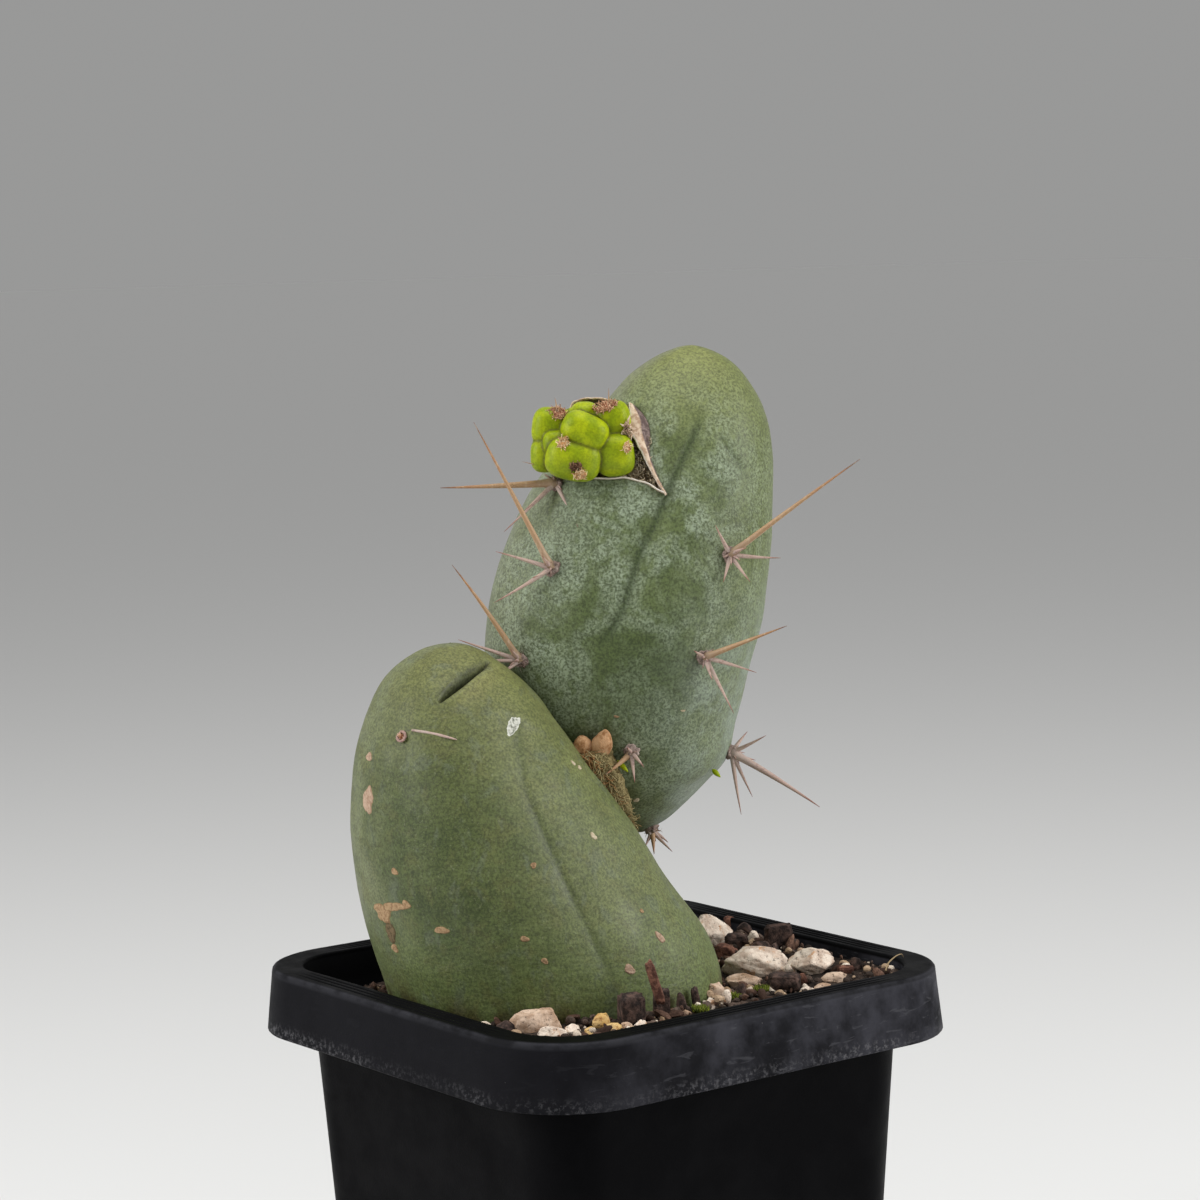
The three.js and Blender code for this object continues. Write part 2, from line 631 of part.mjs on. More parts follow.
// The torn skin: a thin strip that stands up from the stem round the bud's open side.
function skinGeometry() {
  const heart = new THREE.Vector3(...BUD_CORE.slice(0, 3));
  const places = SKIN_EDGE.map((p) => stemPoint(UPPER_STEM, p.along, p.around));
  const seats = new THREE.CatmullRomCurve3(places);
  const normals = SKIN_EDGE.map((p) => stemNormal(UPPER_STEM, p.along, p.around));
  const last = SKIN_EDGE.length - 1;
  const rings = [];
  for (let i = 0; i <= TORN_SKIN.steps; i += 1) {
    const share = i / TORN_SKIN.steps;
    const spot = Math.min(share * last, last - 1e-6);
    const k = Math.floor(spot);
    const out = normals[k].clone().lerp(normals[k + 1], spot - k).normalize();
    const lip = THREE.MathUtils.lerp(SKIN_EDGE[k].lip, SKIN_EDGE[k + 1].lip, spot - k);
    const seat = seats.getPoint(share);
    const outwards = seat.clone().sub(heart);
    outwards.addScaledVector(out, -outwards.dot(out)).normalize();
    const lipWay = out.clone().multiplyScalar(TORN_SKIN.rise).addScaledVector(outwards, TORN_SKIN.spread);
    const foot = seat.clone().addScaledVector(out, -TORN_SKIN.rooted);
    const edge = seat.clone().addScaledVector(lipWay.normalize(), lip);
    const half = outwards.clone().multiplyScalar(TORN_SKIN.thickness / 2);
    rings.push([
      foot.clone().sub(half),
      foot.clone().add(half),
      edge.clone().add(half),
      edge.clone().sub(half),
    ]);
  }
  const middle = (ring) => ring[0].clone().add(ring[2]).multiplyScalar(0.5);
  return loft(rings, middle(rings[0]), middle(rings[TORN_SKIN.steps]));
}

function corkSolid() {
  const lumps = CORK_LUMPS.map(([x, y, z, radius], i) => {
    const lump = pebbleGeometry([2 * radius, 2 * radius, 2 * radius], 300 + i, 1, 0.14);
    lump.translate(x, y, z);
    return toSolid(lump);
  });
  return joined(lumps);
}

// Assembly

const cactus = new THREE.Group();
const plant = new THREE.Group();
plant.rotation.z = VIEW_TURN;
cactus.add(plant);

function addMesh(parent, name, geometry, material) {
  const mesh = new THREE.Mesh(geometry, material);
  mesh.name = name;
  parent.add(mesh);
}

const bud = budWithAreoles();
const budRoom = toSolid(inflated(toGeometry(budSolid()), BUD_ROOM));

const lowerSkin = stemGeometry(LOWER_STEM, LOWER_RINGS);
const lowerRoom = toSolid(inflated(lowerSkin, ROOM));
const lowerStem = toSolid(lowerSkin).subtract(toSolid(slitGeometry()));

const upperSkin = stemGeometry(UPPER_STEM, UPPER_RINGS);
const upperRoom = toSolid(inflated(upperSkin, ROOM));
const upperStem = largestBody(toSolid(upperSkin).subtract(lowerRoom).subtract(budRoom));

const budAreoleRoom = toSolid(inflated(toGeometry(bud), ROOM));
const skin = largestBody(toSolid(skinGeometry()).subtract(upperRoom).subtract(budAreoleRoom));
const skinRoom = toSolid(inflated(toGeometry(skin), ROOM));
const cork = largestBody(corkSolid().subtract(lowerRoom).subtract(upperRoom));
const corkRoom = toSolid(inflated(toGeometry(cork), ROOM));

addMesh(cactus, 'pot', makePot(), PLASTIC);
addMesh(plant, 'lower_stem', toGeometry(lowerStem), LOWER_GREEN);
addMesh(plant, 'upper_stem', toGeometry(upperStem), UPPER_GREEN);
addMesh(plant, 'corky_joint', toGeometry(cork), CORK);
addMesh(plant, 'bud', toGeometry(bud), BUD_GREEN);
addMesh(plant, 'torn_skin', toGeometry(skin), DRY_SKIN);

const carriers = [upperRoom, lowerRoom, budAreoleRoom, corkRoom, skinRoom];
for (const areole of AREOLES) {
  addMesh(plant, areole.name, areoleGeometry(UPPER_STEM, areole, carriers), SPINE_TAN);
}
FAR_AREOLES.forEach((areole, i) => {
  const tips = ruledTips(UPPER_STEM, areole, 500 + i);
  addMesh(plant, areole.name, areoleGeometry(UPPER_STEM, { ...areole, tips }, carriers), SPINE_TAN);
});
WORN_AREOLES.forEach((areole, i) => {
  const tips = stubTips(LOWER_STEM, areole, 600 + i);
  const worn = { ...areole, tips, cushion: WORN_CUSHION_RADIUS };
  addMesh(plant, areole.name, areoleGeometry(LOWER_STEM, worn, [lowerRoom]), SPINE_TAN);
});

function looseSpineGeometry() {
  const lift = LOOSE_SPINE.radius + GAP + 0.1;
  const end = ({ along, around }) => stemPoint(LOWER_STEM, along, around)
    .addScaledVector(stemNormal(LOWER_STEM, along, around), lift);
  const spine = spineGeometry(end(LOOSE_SPINE.from), end(LOOSE_SPINE.to), LOOSE_SPINE.radius);
  return toGeometry(largestBody(toSolid(spine).subtract(lowerRoom)));
}
addMesh(plant, 'loose_spine', looseSpineGeometry(), SPINE_TAN);

const onSoil = [];
STONES.forEach((stone, i) => {
  const facets = stone.size[0] > 4.5 ? 1 : 0;
  const geometry = pebbleGeometry(stone.size, 100 + i, facets, 0.1);
  geometry.rotateZ(THREE.MathUtils.degToRad(stone.turn));
  geometry.translate(...stone.at, soilHeight(...stone.at) + stone.rise);
  addMesh(plant, stone.name, geometry, STONE_TONES[stone.tone]);
  onSoil.push(geometry);
});
BARK.forEach((chip, i) => {
  const geometry = pebbleGeometry(chip.size, 200 + i, 1, 0.08);
  geometry.rotateX(THREE.MathUtils.degToRad(chip.lean));
  geometry.rotateZ(THREE.MathUtils.degToRad(chip.turn));
  geometry.translate(...chip.at);
  addMesh(plant, chip.name, geometry, BARK_BROWN);
  onSoil.push(geometry);
});
addMesh(plant, 'soil', makeSoil([lowerSkin, ...onSoil]), EARTH);

export default cactus;
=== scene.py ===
"""The looks of a monstrose torch cactus in a square nursery pot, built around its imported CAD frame.

Sizes are in millimetres in the plant's frame, in which X runs to the right, Y away from the viewer
and Z up. to_row() turns that frame into the frame of the pot, in metres.
"""

import itertools
import math

import bmesh
import bpy
import numpy as np
from mathutils import Matrix, Vector


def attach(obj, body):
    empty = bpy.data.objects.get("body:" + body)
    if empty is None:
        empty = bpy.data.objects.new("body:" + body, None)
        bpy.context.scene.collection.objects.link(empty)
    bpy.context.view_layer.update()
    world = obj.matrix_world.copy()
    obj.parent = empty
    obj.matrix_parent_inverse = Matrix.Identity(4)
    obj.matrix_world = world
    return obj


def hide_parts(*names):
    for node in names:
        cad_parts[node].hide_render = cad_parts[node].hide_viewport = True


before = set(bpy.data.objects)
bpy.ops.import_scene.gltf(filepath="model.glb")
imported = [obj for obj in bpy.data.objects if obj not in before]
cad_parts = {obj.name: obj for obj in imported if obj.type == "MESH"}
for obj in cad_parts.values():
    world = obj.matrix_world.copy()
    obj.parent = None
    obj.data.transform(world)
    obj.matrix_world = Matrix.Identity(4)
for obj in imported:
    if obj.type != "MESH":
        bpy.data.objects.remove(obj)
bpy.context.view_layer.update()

MM = 0.001
VIEW_TURN = math.radians(52.9)
TURN_TO_ROW = np.array([
    [math.cos(VIEW_TURN), -math.sin(VIEW_TURN), 0],
    [math.sin(VIEW_TURN), math.cos(VIEW_TURN), 0],
    [0, 0, 1],
])

CAMERA = {
    "azimuth": 52.9,
    "elevation": 6.1218,
    "roll": -1.4185,
    "distance": 478.61,
    "sideways": 1.199,
    "height": 129.218,
    "lens": 97.854,
}

# The pot: overall sizes, walls, taper of the body, drain holes and grooves of the ring.
POT = {
    "height": 75,
    "top_half": 39,
    "skirt_half": 40,
    "skirt_height": 9.5,
    "skirt_wall": 0.9,
    "ring_wall": 1.2,
    "opening_half": 34.3,
    "collar_wall": 1.1,
    "collar_depth": 8,
    "body_half_at_rim": 33.75,
    "body_wall": 1.2,
    "taper": 0.0635,
    "floor": 1.6,
    "drain_radius": 3.5,
    "drain_offset": 16,
    "grooves": 3,
    "groove_depth": 0.28,
}
# The soil: its level, how far it rises at the back and falls for each millimetre to the left.
SOIL_LEVEL = 71.6
SOIL_BACK_RISE = 1.8
SOIL_LEFT_DROP = 0.09
SOIL_EDGE_BOTTOM = 67

# Each row is one ring of a stem: height along its axis, left and right edge, half depth.
LOWER_ROWS = [
    [57, -16, 2, 9],
    [60, -25, 11, 17],
    [66, -29.5, 16, 20.5],
    [72, -31.2, 17, 21.5],
    [80, -33.5, 14.8, 22],
    [88, -35, 9.3, 21.5],
    [96, -35.8, 4.7, 20],
    [104, -35.5, -0.9, 18],
    [110, -34.4, -5, 15.5],
    [116, -32.1, -9, 12],
    [120, -29.2, -13.2, 8.3],
    [122.6, -25.2, -17, 4.3],
    [123.6, -20.9, -20.9, 0],
]
UPPER_ROWS = [
    [-0.5, -1.6, -1.6, 0],
    [1.5, -8, 2, 5],
    [4, -12.7, 4.5, 8.5],
    [8, -17.5, 8, 12],
    [12, -20.5, 11, 14],
    [18, -24.5, 12, 16],
    [26, -26.4, 13.5, 17.5],
    [34, -26.3, 15, 18],
    [42, -24.7, 15.2, 17.5],
    [50, -21.6, 15, 16],
    [58, -16.6, 14.4, 13.5],
    [64, -11.7, 13.1, 10.8],
    [69, -7.8, 10.3, 7.5],
    [72.3, -3.5, 6.5, 4],
    [73.8, 1.2, 1.2, 0],
]
# Both stems are slightly ribbed.
RIBS = 4
RIB_DEPTH = 0.05

# Places on a stem are (share along it, degrees round it): 0 right, 90 away, 180 left, 270 front.
SLIT = [(0.756, 262.2), (0.773, 270.6), (0.797, 283), (0.826, 300.3), (0.864, 333)]
SLIT_DEPTH = 1.9
SLIT_LIP = 0.3
LOWER_CREASE = [(0.72, 316), (0.685, 309), (0.6, 300), (0.54, 297), (0.475, 296), (0.416, 296),
                (0.349, 294), (0.297, 294)]
LOWER_SIDE_CREASE = [(0.69, 238), (0.675, 237), (0.587, 230), (0.51, 223), (0.434, 219), (0.342, 218)]
UPPER_VALLEY = [(0.8, 281), (0.711, 276), (0.665, 274), (0.623, 272), (0.583, 269), (0.543, 268),
                (0.502, 266), (0.445, 258)]
UPPER_FOLD = [(0.755, 292), (0.743, 296), (0.706, 308), (0.68, 317)]

# Each bump of the bud: middle, half sizes to the right, away and up, and its turn in degrees.
BUD_BUMPS = [
    (-5.6, 3.9, 154.5, 2.6, 2.8, 3, 8),
    (-0.4, 0.3, 154.1, 3.5, 2.8, 2.5, 26),
    (-0.4, 4.6, 156.1, 2, 2.8, 2, 0),
    (3.9, 3.8, 155.3, 2.5, 2.7, 2.9, -8),
    (3.9, 1.5, 150.3, 2.9, 2.8, 3.1, -6),
    (-2.2, 0.4, 149.9, 4.1, 3, 3.1, 12),
    (-6.3, 3.5, 150.5, 2.2, 2.7, 2.6, 0),
    (-4.6, 1.6, 152.3, 2, 2, 1.9, 0),
    (-3.6, 6.5, 152.6, 3.4, 3, 3.6, 0),
]
BUD_CORE = (-0.6, 4.6, 152.6, 6, 4.6, 4.9)
BUMP_SQUARENESS = 2.9
BUD_VOXEL = 0.17
# Wool on the bud: middle, way out, half width and height, turn, number of hairs and tone.
BUD_TUFTS = [
    ((-4.3, 1.65, 156.7), (-0.2, -0.75, 0.6), 1.5, 1.05, 32, 190, "rust"),
    ((2.7, 1.75, 157.5), (-0.1, -0.75, 0.65), 1.9, 0.95, -24, 230, "rust"),
    ((-3.6, -2.05, 152.5), (-0.1, -0.95, 0.3), 0.8, 0.95, 0, 110, "cream"),
    ((-1.8, -2.6, 149), (0, -1, -0.15), 1.05, 0.75, 0, 90, "brown"),
    ((-1.15, -2.45, 147.8), (0.05, -0.9, -0.45), 0.95, 0.85, 0, 130, "cream"),
    ((5.7, -1, 151.6), (0.5, -0.85, 0.1), 0.65, 0.75, 0, 90, "cream"),
]
# Fine spines of the bud, from foot to tip.
BUD_SPINES = [
    ((-4.5, 1.8, 156.9), (-4.7, 1.5, 159)),
    ((-4.2, 1.7, 156.8), (-3.8, 0.8, 158)),
    ((3, 1.8, 157.4), (3.2, 1.5, 160.2)),
    ((3.2, 1.8, 157.3), (4.1, 1.2, 158.6)),
    ((2.2, 1.8, 157.3), (1.2, 1, 158.1)),
    ((-3.8, -2, 152.5), (-4.4, -2.9, 153.6)),
    ((-3.5, -2, 152.6), (-2.9, -3, 153.2)),
    ((-5.6, 1.6, 148.4), (-9.8, 1.6, 149.7)),
]

# The torn skin beside the bud: places of its root, its fold and its free edge, from its peak down.
FLAP_ROOT = [
    (0.794, 231), (0.781, 241), (0.764, 248.5), (0.747, 253), (0.727, 256.3), (0.71, 258.7),
    (0.692, 264.2), (0.676, 269.5), (0.664, 274),
]
FLAP_FOLD = [
    (0.789, 232.7), (0.772, 240.4), (0.759, 244.8), (0.745, 248), (0.733, 251.4), (0.715, 256.6),
    (0.698, 261.3), (0.68, 267.5), (0.662, 274),
]
FLAP_EDGE = [
    (0.788, 231.6), (0.768, 236.7), (0.754, 238.7), (0.742, 240.4), (0.731, 246.6), (0.717, 252.2),
    (0.702, 257.6), (0.684, 264.5), (0.661, 273.7),
]
# The thin lower edge of the torn skin, from its point to the left.
LOW_EDGE = [
    (0.664, 273.5), (0.668, 268.7), (0.674, 263.6), (0.677, 257.3), (0.679, 251), (0.677, 247),
    (0.675, 239), (0.674, 232), (0.673, 223.4),
]
# The sheet behind the bud: places of its root and points of its free edge.
SHEET_ROOT = [(0.797, 224), (0.796, 214), (0.79, 204), (0.775, 196), (0.755, 190), (0.735, 187)]
SHEET_EDGE = [
    (2.97, 6.5, 158.25), (1.94, 7.3, 158.5), (0.46, 8, 158.5), (-1.03, 8.3, 158.25),
    (-2.15, 8.3, 157.9), (-2.6, 8, 156.8),
]
CURL = (5.7, 1.1, 154)
CURL_HAIRS = 46
HOLE_FIBRES = 1400
# The far side of the hole, behind the bud, closes the outline of the bare floor.
HOLE_BEHIND_BUD = [(0.69, 212), (0.71, 200), (0.735, 192)]

# Areoles: place on the upper stem and the steps right, away and up from it to each spine's tip.
AREOLES = {
    "areole_left_middle": {"along": 0.555, "around": 234, "tips": [
        (-10.8, -5, 22), (-8.2, -3, 3), (-8.7, -2, -4.6), (-3, -3.2, -1), (-1.5, -2.6, 2.2)]},
    "areole_left_low": {"along": 0.43, "around": 226, "tips": [
        (-9.6, -6, 14.9), (-9.1, -4, 3.7), (-6.2, -3, 0.4), (-3.2, -3, -1.9), (-1.5, -3, 2)]},
    "areole_left_high": {"along": 0.662, "around": 217, "thick": True, "tips": [
        (-17, -7, 0.4), (-8, -4, -6.5), (2.9, -5.2, -6), (-5, -5, -3.5)]},
    "areole_right_high": {"along": 0.59, "around": 308, "tips": [
        (19, -7, 14), (-1.9, -3, 4.6), (7.5, -3, -0.4), (3, -3, -3.8), (-0.9, -2.4, -3.8),
        (2.6, -3, 1.2)]},
    "areole_right_low": {"along": 0.455, "around": 304, "tips": [
        (12, -7, 5), (7.6, -4, -2.1), (4.2, -3.5, -8.1), (-1.4, -2.6, 1.2), (1.2, -3, -3.2)]},
    "areole_right_edge": {"along": 0.3, "around": 354, "thick": True, "pale": True, "tips": [
        (13.4, -4, -8.2), (5.6, -2, 2.6), (3, 2.5, 2.6), (4.2, 3.5, -2), (3.4, -1.6, -6.8),
        (1.6, -2.6, -9.3)]},
    "areole_foot": {"along": 0.047, "around": 324, "tips": [
        (0.4, -2.5, -3.6), (3.2, -2, -3.4), (2.6, -0.6, -2.2), (-1, -2, -2.6)]},
    "areole_joint": {"along": 0.313, "around": 275, "tips": [
        (-3.9, -3.4, -2.9), (0.4, -3.2, -4.2), (1.8, -3, -2), (-0.6, -3.4, 1)]},
}
FAR_AREOLES = {
    "areole_far_a": (0.42, 56),
    "areole_far_b": (0.57, 52),
    "areole_far_c": (0.71, 60),
    "areole_far_d": (0.36, 124),
    "areole_far_e": (0.52, 118),
    "areole_far_f": (0.67, 108),
}
WORN_AREOLES = {
    "areole_worn_front": (0.69, 238),
    "areole_worn_left": (0.515, 156),
    "areole_worn_back_a": (0.42, 118),
    "areole_worn_back_b": (0.5, 62),
}
LOOSE_SPINE_ENDS = [(0.702, 245), (0.685, 271)]
LOOSE_SPINE_RADIUS = 0.16

# Slots of an areole's finishes.
LONG_SPINE, WOOL, PALE_SPINE, RUSTY_WOOL = range(4)
THICK_SPINE_RADIUS = 0.62
LONG_SPINE_RADIUS = 0.5
SHORT_SPINE_RADIUS = 0.4
STUB_RADIUS = 0.26
BUD_SPINE_RADIUS = 0.16
CUSHION_RADIUS = 1.15
WORN_CUSHION_RADIUS = 0.9
CUSHION_LIFT = 0.5

# Corky scars of the lower stem: along, around, width, height, lean in degrees and kind.
LOWER_SCARS = [
    (0.641, 210, 2.4, 1.3, 10, "pink"),
    (0.563, 211, 3.8, 4.2, -8, "pink"),
    (0.465, 227, 2.2, 1, 0, "tan"),
    (0.394, 211, 5.6, 2.9, 0, "tan"),
    (0.409, 221, 7.6, 1.5, 8, "tan"),
    (0.419, 230, 2, 1.1, 0, "tan"),
    (0.366, 214, 3.2, 3.2, 5, "brown"),
    (0.342, 214, 2.2, 1.3, 0, "tan"),
    (0.385, 243, 2.7, 1.3, 10, "tan"),
    (0.374, 271, 1.3, 1.1, 15, "tan"),
    (0.34, 274, 1.2, 1, 0, "tan"),
    (0.478, 286, 1.3, 0.8, 30, "tan"),
    (0.508, 318, 1, 1.3, -10, "cream"),
    (0.394, 320, 0.7, 0.8, 0, "tan"),
    (0.354, 320, 1.2, 2.4, 10, "pink"),
    (0.316, 302, 1.9, 1.6, 30, "pink"),
    (0.366, 371, 1.4, 1.3, 0, "pink"),
    (0.615, 336, 0.7, 1, 20, "cream"),
    (0.604, 339, 0.8, 0.9, 30, "cream"),
    (0.703, 309, 1.9, 3.8, -55, "white"),
    (0.45, 100, 2.4, 1.6, 15, "tan"),
    (0.56, 72, 1, 1.4, 0, "pink"),
    (0.38, 140, 1.4, 2.2, 20, "tan"),
    (0.62, 128, 0.9, 0.9, 0, "tan"),
    (0.34, 60, 1.2, 1, 10, "tan"),
]
UPPER_SCARS = [
    (0.382, 299.7, 1, 0.3, 8, "cream"),
    (0.369, 270, 0.9, 0.4, 0, "tan"),
    (0.182, 281, 1.2, 0.8, 20, "cream"),
    (0.48, 80, 1.2, 0.8, 10, "tan"),
    (0.6, 96, 0.6, 0.8, 0, "tan"),
]
FLAKE_LIFT = 0.16
# Small green leaves, from foot to tip.
LEAVES = [((3.2, -0.4, 105.4), (4.7, -0.9, 103.7)), ((17.4, 8, 102.4), (18.6, 7.6, 101.2))]

# The two ear-like lumps of the joint: middle, half sizes and turn in degrees.
CORK_EARS = [
    ((-1.9, -1.3, 107.9), (1.6, 1.1, 1.55), -10),
    ((1, -1.7, 108.1), (1.6, 1.1, 2.2), 18),
]
# The corky strip below them: middle and radius.
CORK_STRIP = [
    (-0.8, -0.8, 107.2, 1.6),
    (-0.3, -0.6, 106, 2.6),
    (0.6, -0.1, 103.9, 2.6),
    (1.5, 0.6, 101.9, 2.5),
    (2.4, 1.6, 99.9, 2.2),
    (3.3, 2.9, 97.9, 1.8),
    (4.2, 4.3, 95.7, 1.2),
    (4.9, 5.2, 94.2, 0.8),
]
JOINT_FIBRES = 950

# How crisp the edges between a stone's faces are, and how boxy a piece of bark is.
STONE_SHARPNESS = 38
BARK_BOXINESS = 0.45
# The lower stem where it stands in the soil: left, right and half depth.
STEM_AT_SOIL = (-31, 16.8, 21.2)
# Stones on the soil: middle (right, away), how high it stands, size in three ways, turn and tone.
STONES = {
    "stone_back": ((16.9, 20.8), 1.7, (7.3, 5, 6), 8, "cream"),
    "stone_large": ((23.2, 3.9), 1.2, (10.2, 6, 5), 0, "cream"),
    "stone_right": ((31.2, 1), 1.1, (6.8, 5, 4.6), 10, "cream"),
    "stone_front": ((-9.3, -26), 0.6, (7.8, 4.2, 4.4), 0, "tan"),
    "stone_front_small": ((-6.9, -29.5), -0.1, (4.3, 2.2, 2.4), 0, "cream"),
    "stone_yellow": ((-0.1, -25.6), 0.4, (2.6, 2.2, 3), 0, "ochre"),
    "stone_flat": ((21.1, -1.8), 0, (5.5, 3.4, 2.6), 0, "tan"),
    "stone_right_rim": ((34.2, -4.9), 0.2, (4, 2.4, 1.8), 6, "tan"),
    "stone_far_a": ((2, 32), 1, (6.4, 5, 4), 20, "cream"),
    "stone_far_b": ((-6, 29.5), 0.8, (5, 4.4, 3.4), 60, "tan"),
    "stone_far_c": ((-14, 25), 1, (6, 4.6, 4), 100, "cream"),
    "stone_far_d": ((10, 35), 0.7, (4.4, 3.6, 3), 140, "ochre"),
    "stone_left": ((-39, 1.4), 0.7, (4.2, 3.6, 3), 30, "tan"),
    "stone_front_left": ((-17, -24.2), 0.5, (2.8, 1.8, 1.8), 0, "cream"),
}
# Bark: middle, size in three ways, lean and turn in degrees.
BARK = {
    "bark_lump": ((4.2, -24.4, 73.5), (3.8, 3, 5), 6, 10),
    "bark_stick": ((7.6, -23.6, 77.2), (1.5, 1.4, 6.8), 16, -90),
    "bark_chip": ((8.5, -21.4, 73.6), (2.4, 1.6, 5), 5, 10),
    "bark_flake": ((27.1, 15.3, 74.6), (4.6, 1.5, 5.2), 12, 14),
    "bark_back": ((20.9, 17, 73.9), (3.7, 2, 3), 10, 8),
    "bark_red": ((36.2, -1.6, 73.3), (2.6, 1.4, 1.6), 10, 20),
    "bark_right": ((26.8, -7.2, 73.1), (5, 2.8, 2.6), 8, -10),
    "bark_far": ((6, 24.4, 72.6), (6.6, 2.4, 2), 6, 35),
}
RED_BARK = ("bark_red", "bark_stick")
# Smaller pieces: middle (right, away), width, height above the soil and tone.
PEBBLES = [
    (28.1, 1, 2.1, 1.4, "cream"), (-4.1, -28.6, 2.3, 1.2, "cream"), (1.6, -28, 2.6, 1.1, "ochre"),
    (-1.6, -29, 1.8, 0.8, "ochre"), (3.4, -27.2, 1.7, 0.9, "tan"), (5.4, -26.4, 2.2, 1, "cream"),
    (11.4, -17.4, 1.5, 2.7, "brown"), (13.6, -15.2, 1.3, 3, "brown"), (16.8, -10.2, 2.8, 2.4, "tan"),
    (14, -17.8, 1.7, 1.3, "cream"), (15.6, -15.4, 1.5, 1.3, "cream"), (17.9, -13.4, 1.6, 2, "cream"),
    (20.1, -10.4, 1.9, 2.2, "brown"), (21.9, -8.2, 2.1, 1.1, "cream"), (29.7, -5, 1.3, 1.5, "red"),
    (32.4, -8.4, 2.8, 0.8, "tan"), (29.9, -9.6, 2.4, 0.8, "cream"), (19.2, 14.4, 3.6, 1.7, "red"),
    (23.5, 20.4, 2.2, 1.7, "cream"), (24.6, 14.4, 3.2, 1.6, "brown"), (20.4, 30.6, 2.2, 1.8, "red"),
    (22.4, 24.4, 2.4, 2.2, "brown"), (26.4, 11.6, 1.6, 1.6, "brown"), (12, -20.4, 1.6, 0.9, "tan"),
    (-13.6, -26.6, 3, 1.6, "brown"), (-19.6, -22.4, 2.2, 1.2, "brown"), (30.4, 8.6, 2.2, 1.5, "tan"),
    (33.8, 7.4, 1.8, 1.4, "brown"), (24.4, -6, 1.6, 1.2, "brown"), (38, 1.6, 1.8, 1.2, "brown"),
]
# Cushions of moss: middle (right, away) and radius.
MOSS_BLADES = 170
MOSS = [((14, -19.4), 1.1), ((23.4, -8.2), 1), ((19.2, -12.2), 0.7), ((-24, 14), 1.5)]
# The pale fibre that lies on the rim, from end to end.
RIM_FIBRE = [(41.4, -10, 75), (41.9, -9, 75.9), (43.2, -6.4, 76.3), (44.3, -3.6, 76), (44.7, -2, 75.2)]


# Numbers and noise


def to_row(points):
    """Plant frame in millimetres to the pot's frame in metres."""
    return np.asarray(points, float) @ TURN_TO_ROW.T * MM


def smoothstep(value, start, end):
    """0 up to the start, 1 from the end on and a soft rise between."""
    share = np.clip((value - start) / (end - start), 0, 1)
    return share * share * (3 - 2 * share)


def bell(value, width):
    """1 where the value is 0, and soon 0 beyond this width."""
    return np.exp(-((value / width) ** 2))


def faded_ends(share, start, end):
    """0 at both ends of a path and 1 between these two shares."""
    return smoothstep(share, 0, start) * (1 - smoothstep(share, end, 1))


def unit(vectors):
    vectors = np.asarray(vectors, float)
    return vectors / np.maximum(np.linalg.norm(vectors, axis=-1, keepdims=True), 1e-9)


def cell_value(cell, seed):
    """One random number from 0 to 1 for each lattice cell."""
    mixed = cell[:, 0] * 73856093 ^ cell[:, 1] * 19349663 ^ cell[:, 2] * 83492791 ^ seed * 974634777
    mixed = mixed & 0xFFFFFFFF
    mixed = (mixed ^ mixed >> 15) * 739982445 & 0xFFFFFFFF
    mixed = (mixed ^ mixed >> 12) * 695872825 & 0xFFFFFFFF
    return (mixed ^ mixed >> 15) / 0xFFFFFFFF


def noise(points, size, seed):
    """Smooth noise from -1 to 1 with lumps of about this size."""
    spot = np.asarray(points, float) / size + 0.5 * seed
    cell = np.floor(spot).astype(np.int64)
    share = spot - cell
    share = share * share * (3 - 2 * share)
    total = np.zeros(len(spot))
    for corner in itertools.product((0, 1), repeat=3):
        weight = np.prod(np.where(np.array(corner) == 1, share, 1 - share), axis=1)
        total += weight * cell_value(cell + np.array(corner), seed)
    return 2 * total - 1


def rough(points, size, seed, octaves=3):
    """Noise with finer noise on top of it."""
    return sum(noise(points, size / 2**i, seed + i) / 2**i for i in range(octaves))


def through(table, share):
    """Catmull-Rom values between evenly spaced rows; a pole, where depth is 0, goes on mirrored."""
    table = np.array(table, float)
    share = np.atleast_1d(share)
    first, last = table[0], table[-1]
    if table.shape[1] == 4 and table[0, 3] == 0:
        first = table[1][[0, 2, 1, 3]] * (1, 1, 1, -1)
    if table.shape[1] == 4 and table[-1, 3] == 0:
        last = table[-2][[0, 2, 1, 3]] * (1, 1, 1, -1)
    padded = np.vstack([first, table, last])
    spot = np.clip(share, 0, 1) * (len(table) - 1)
    i = np.minimum(spot.astype(int), len(table) - 2)
    u = (spot - i)[:, None]
    a, b, c, d = padded[i], padded[i + 1], padded[i + 2], padded[i + 3]
    square = 2 * a - 5 * b + 4 * c - d
    cube = 3 * b - a - 3 * c + d
    return 0.5 * (2 * b + (c - a) * u + square * u * u + cube * u * u * u)


def path_distance(points, path):
    """Distance of every point to a line through the path's points, and the share along it."""
    best = np.full(len(points), 1e9)
    share = np.zeros(len(points))
    for i, (start, end) in enumerate(zip(path[:-1], path[1:])):
        run = end - start
        along = np.clip((points - start) @ run / (run @ run), 0, 1)
        away = np.linalg.norm(points - start - along[:, None] * run, axis=1)
        nearer = away < best
        best[nearer] = away[nearer]
        share[nearer] = (i + along[nearer]) / (len(path) - 1)
    return best, share


def inside_outline(across, up, outline):
    """Whether places lie inside a closed outline, by the even-odd rule."""
    inside = np.zeros(across.shape, bool)
    for (x0, y0), (x1, y1) in zip(outline, outline[1:] + outline[:1]):
        crosses = (y0 > up) != (y1 > up)
        at = x0 + (up - y0) * (x1 - x0) / (y1 - y0 if y1 != y0 else 1e-9)
        inside ^= crosses & (across < at)
    return inside


# Meshes


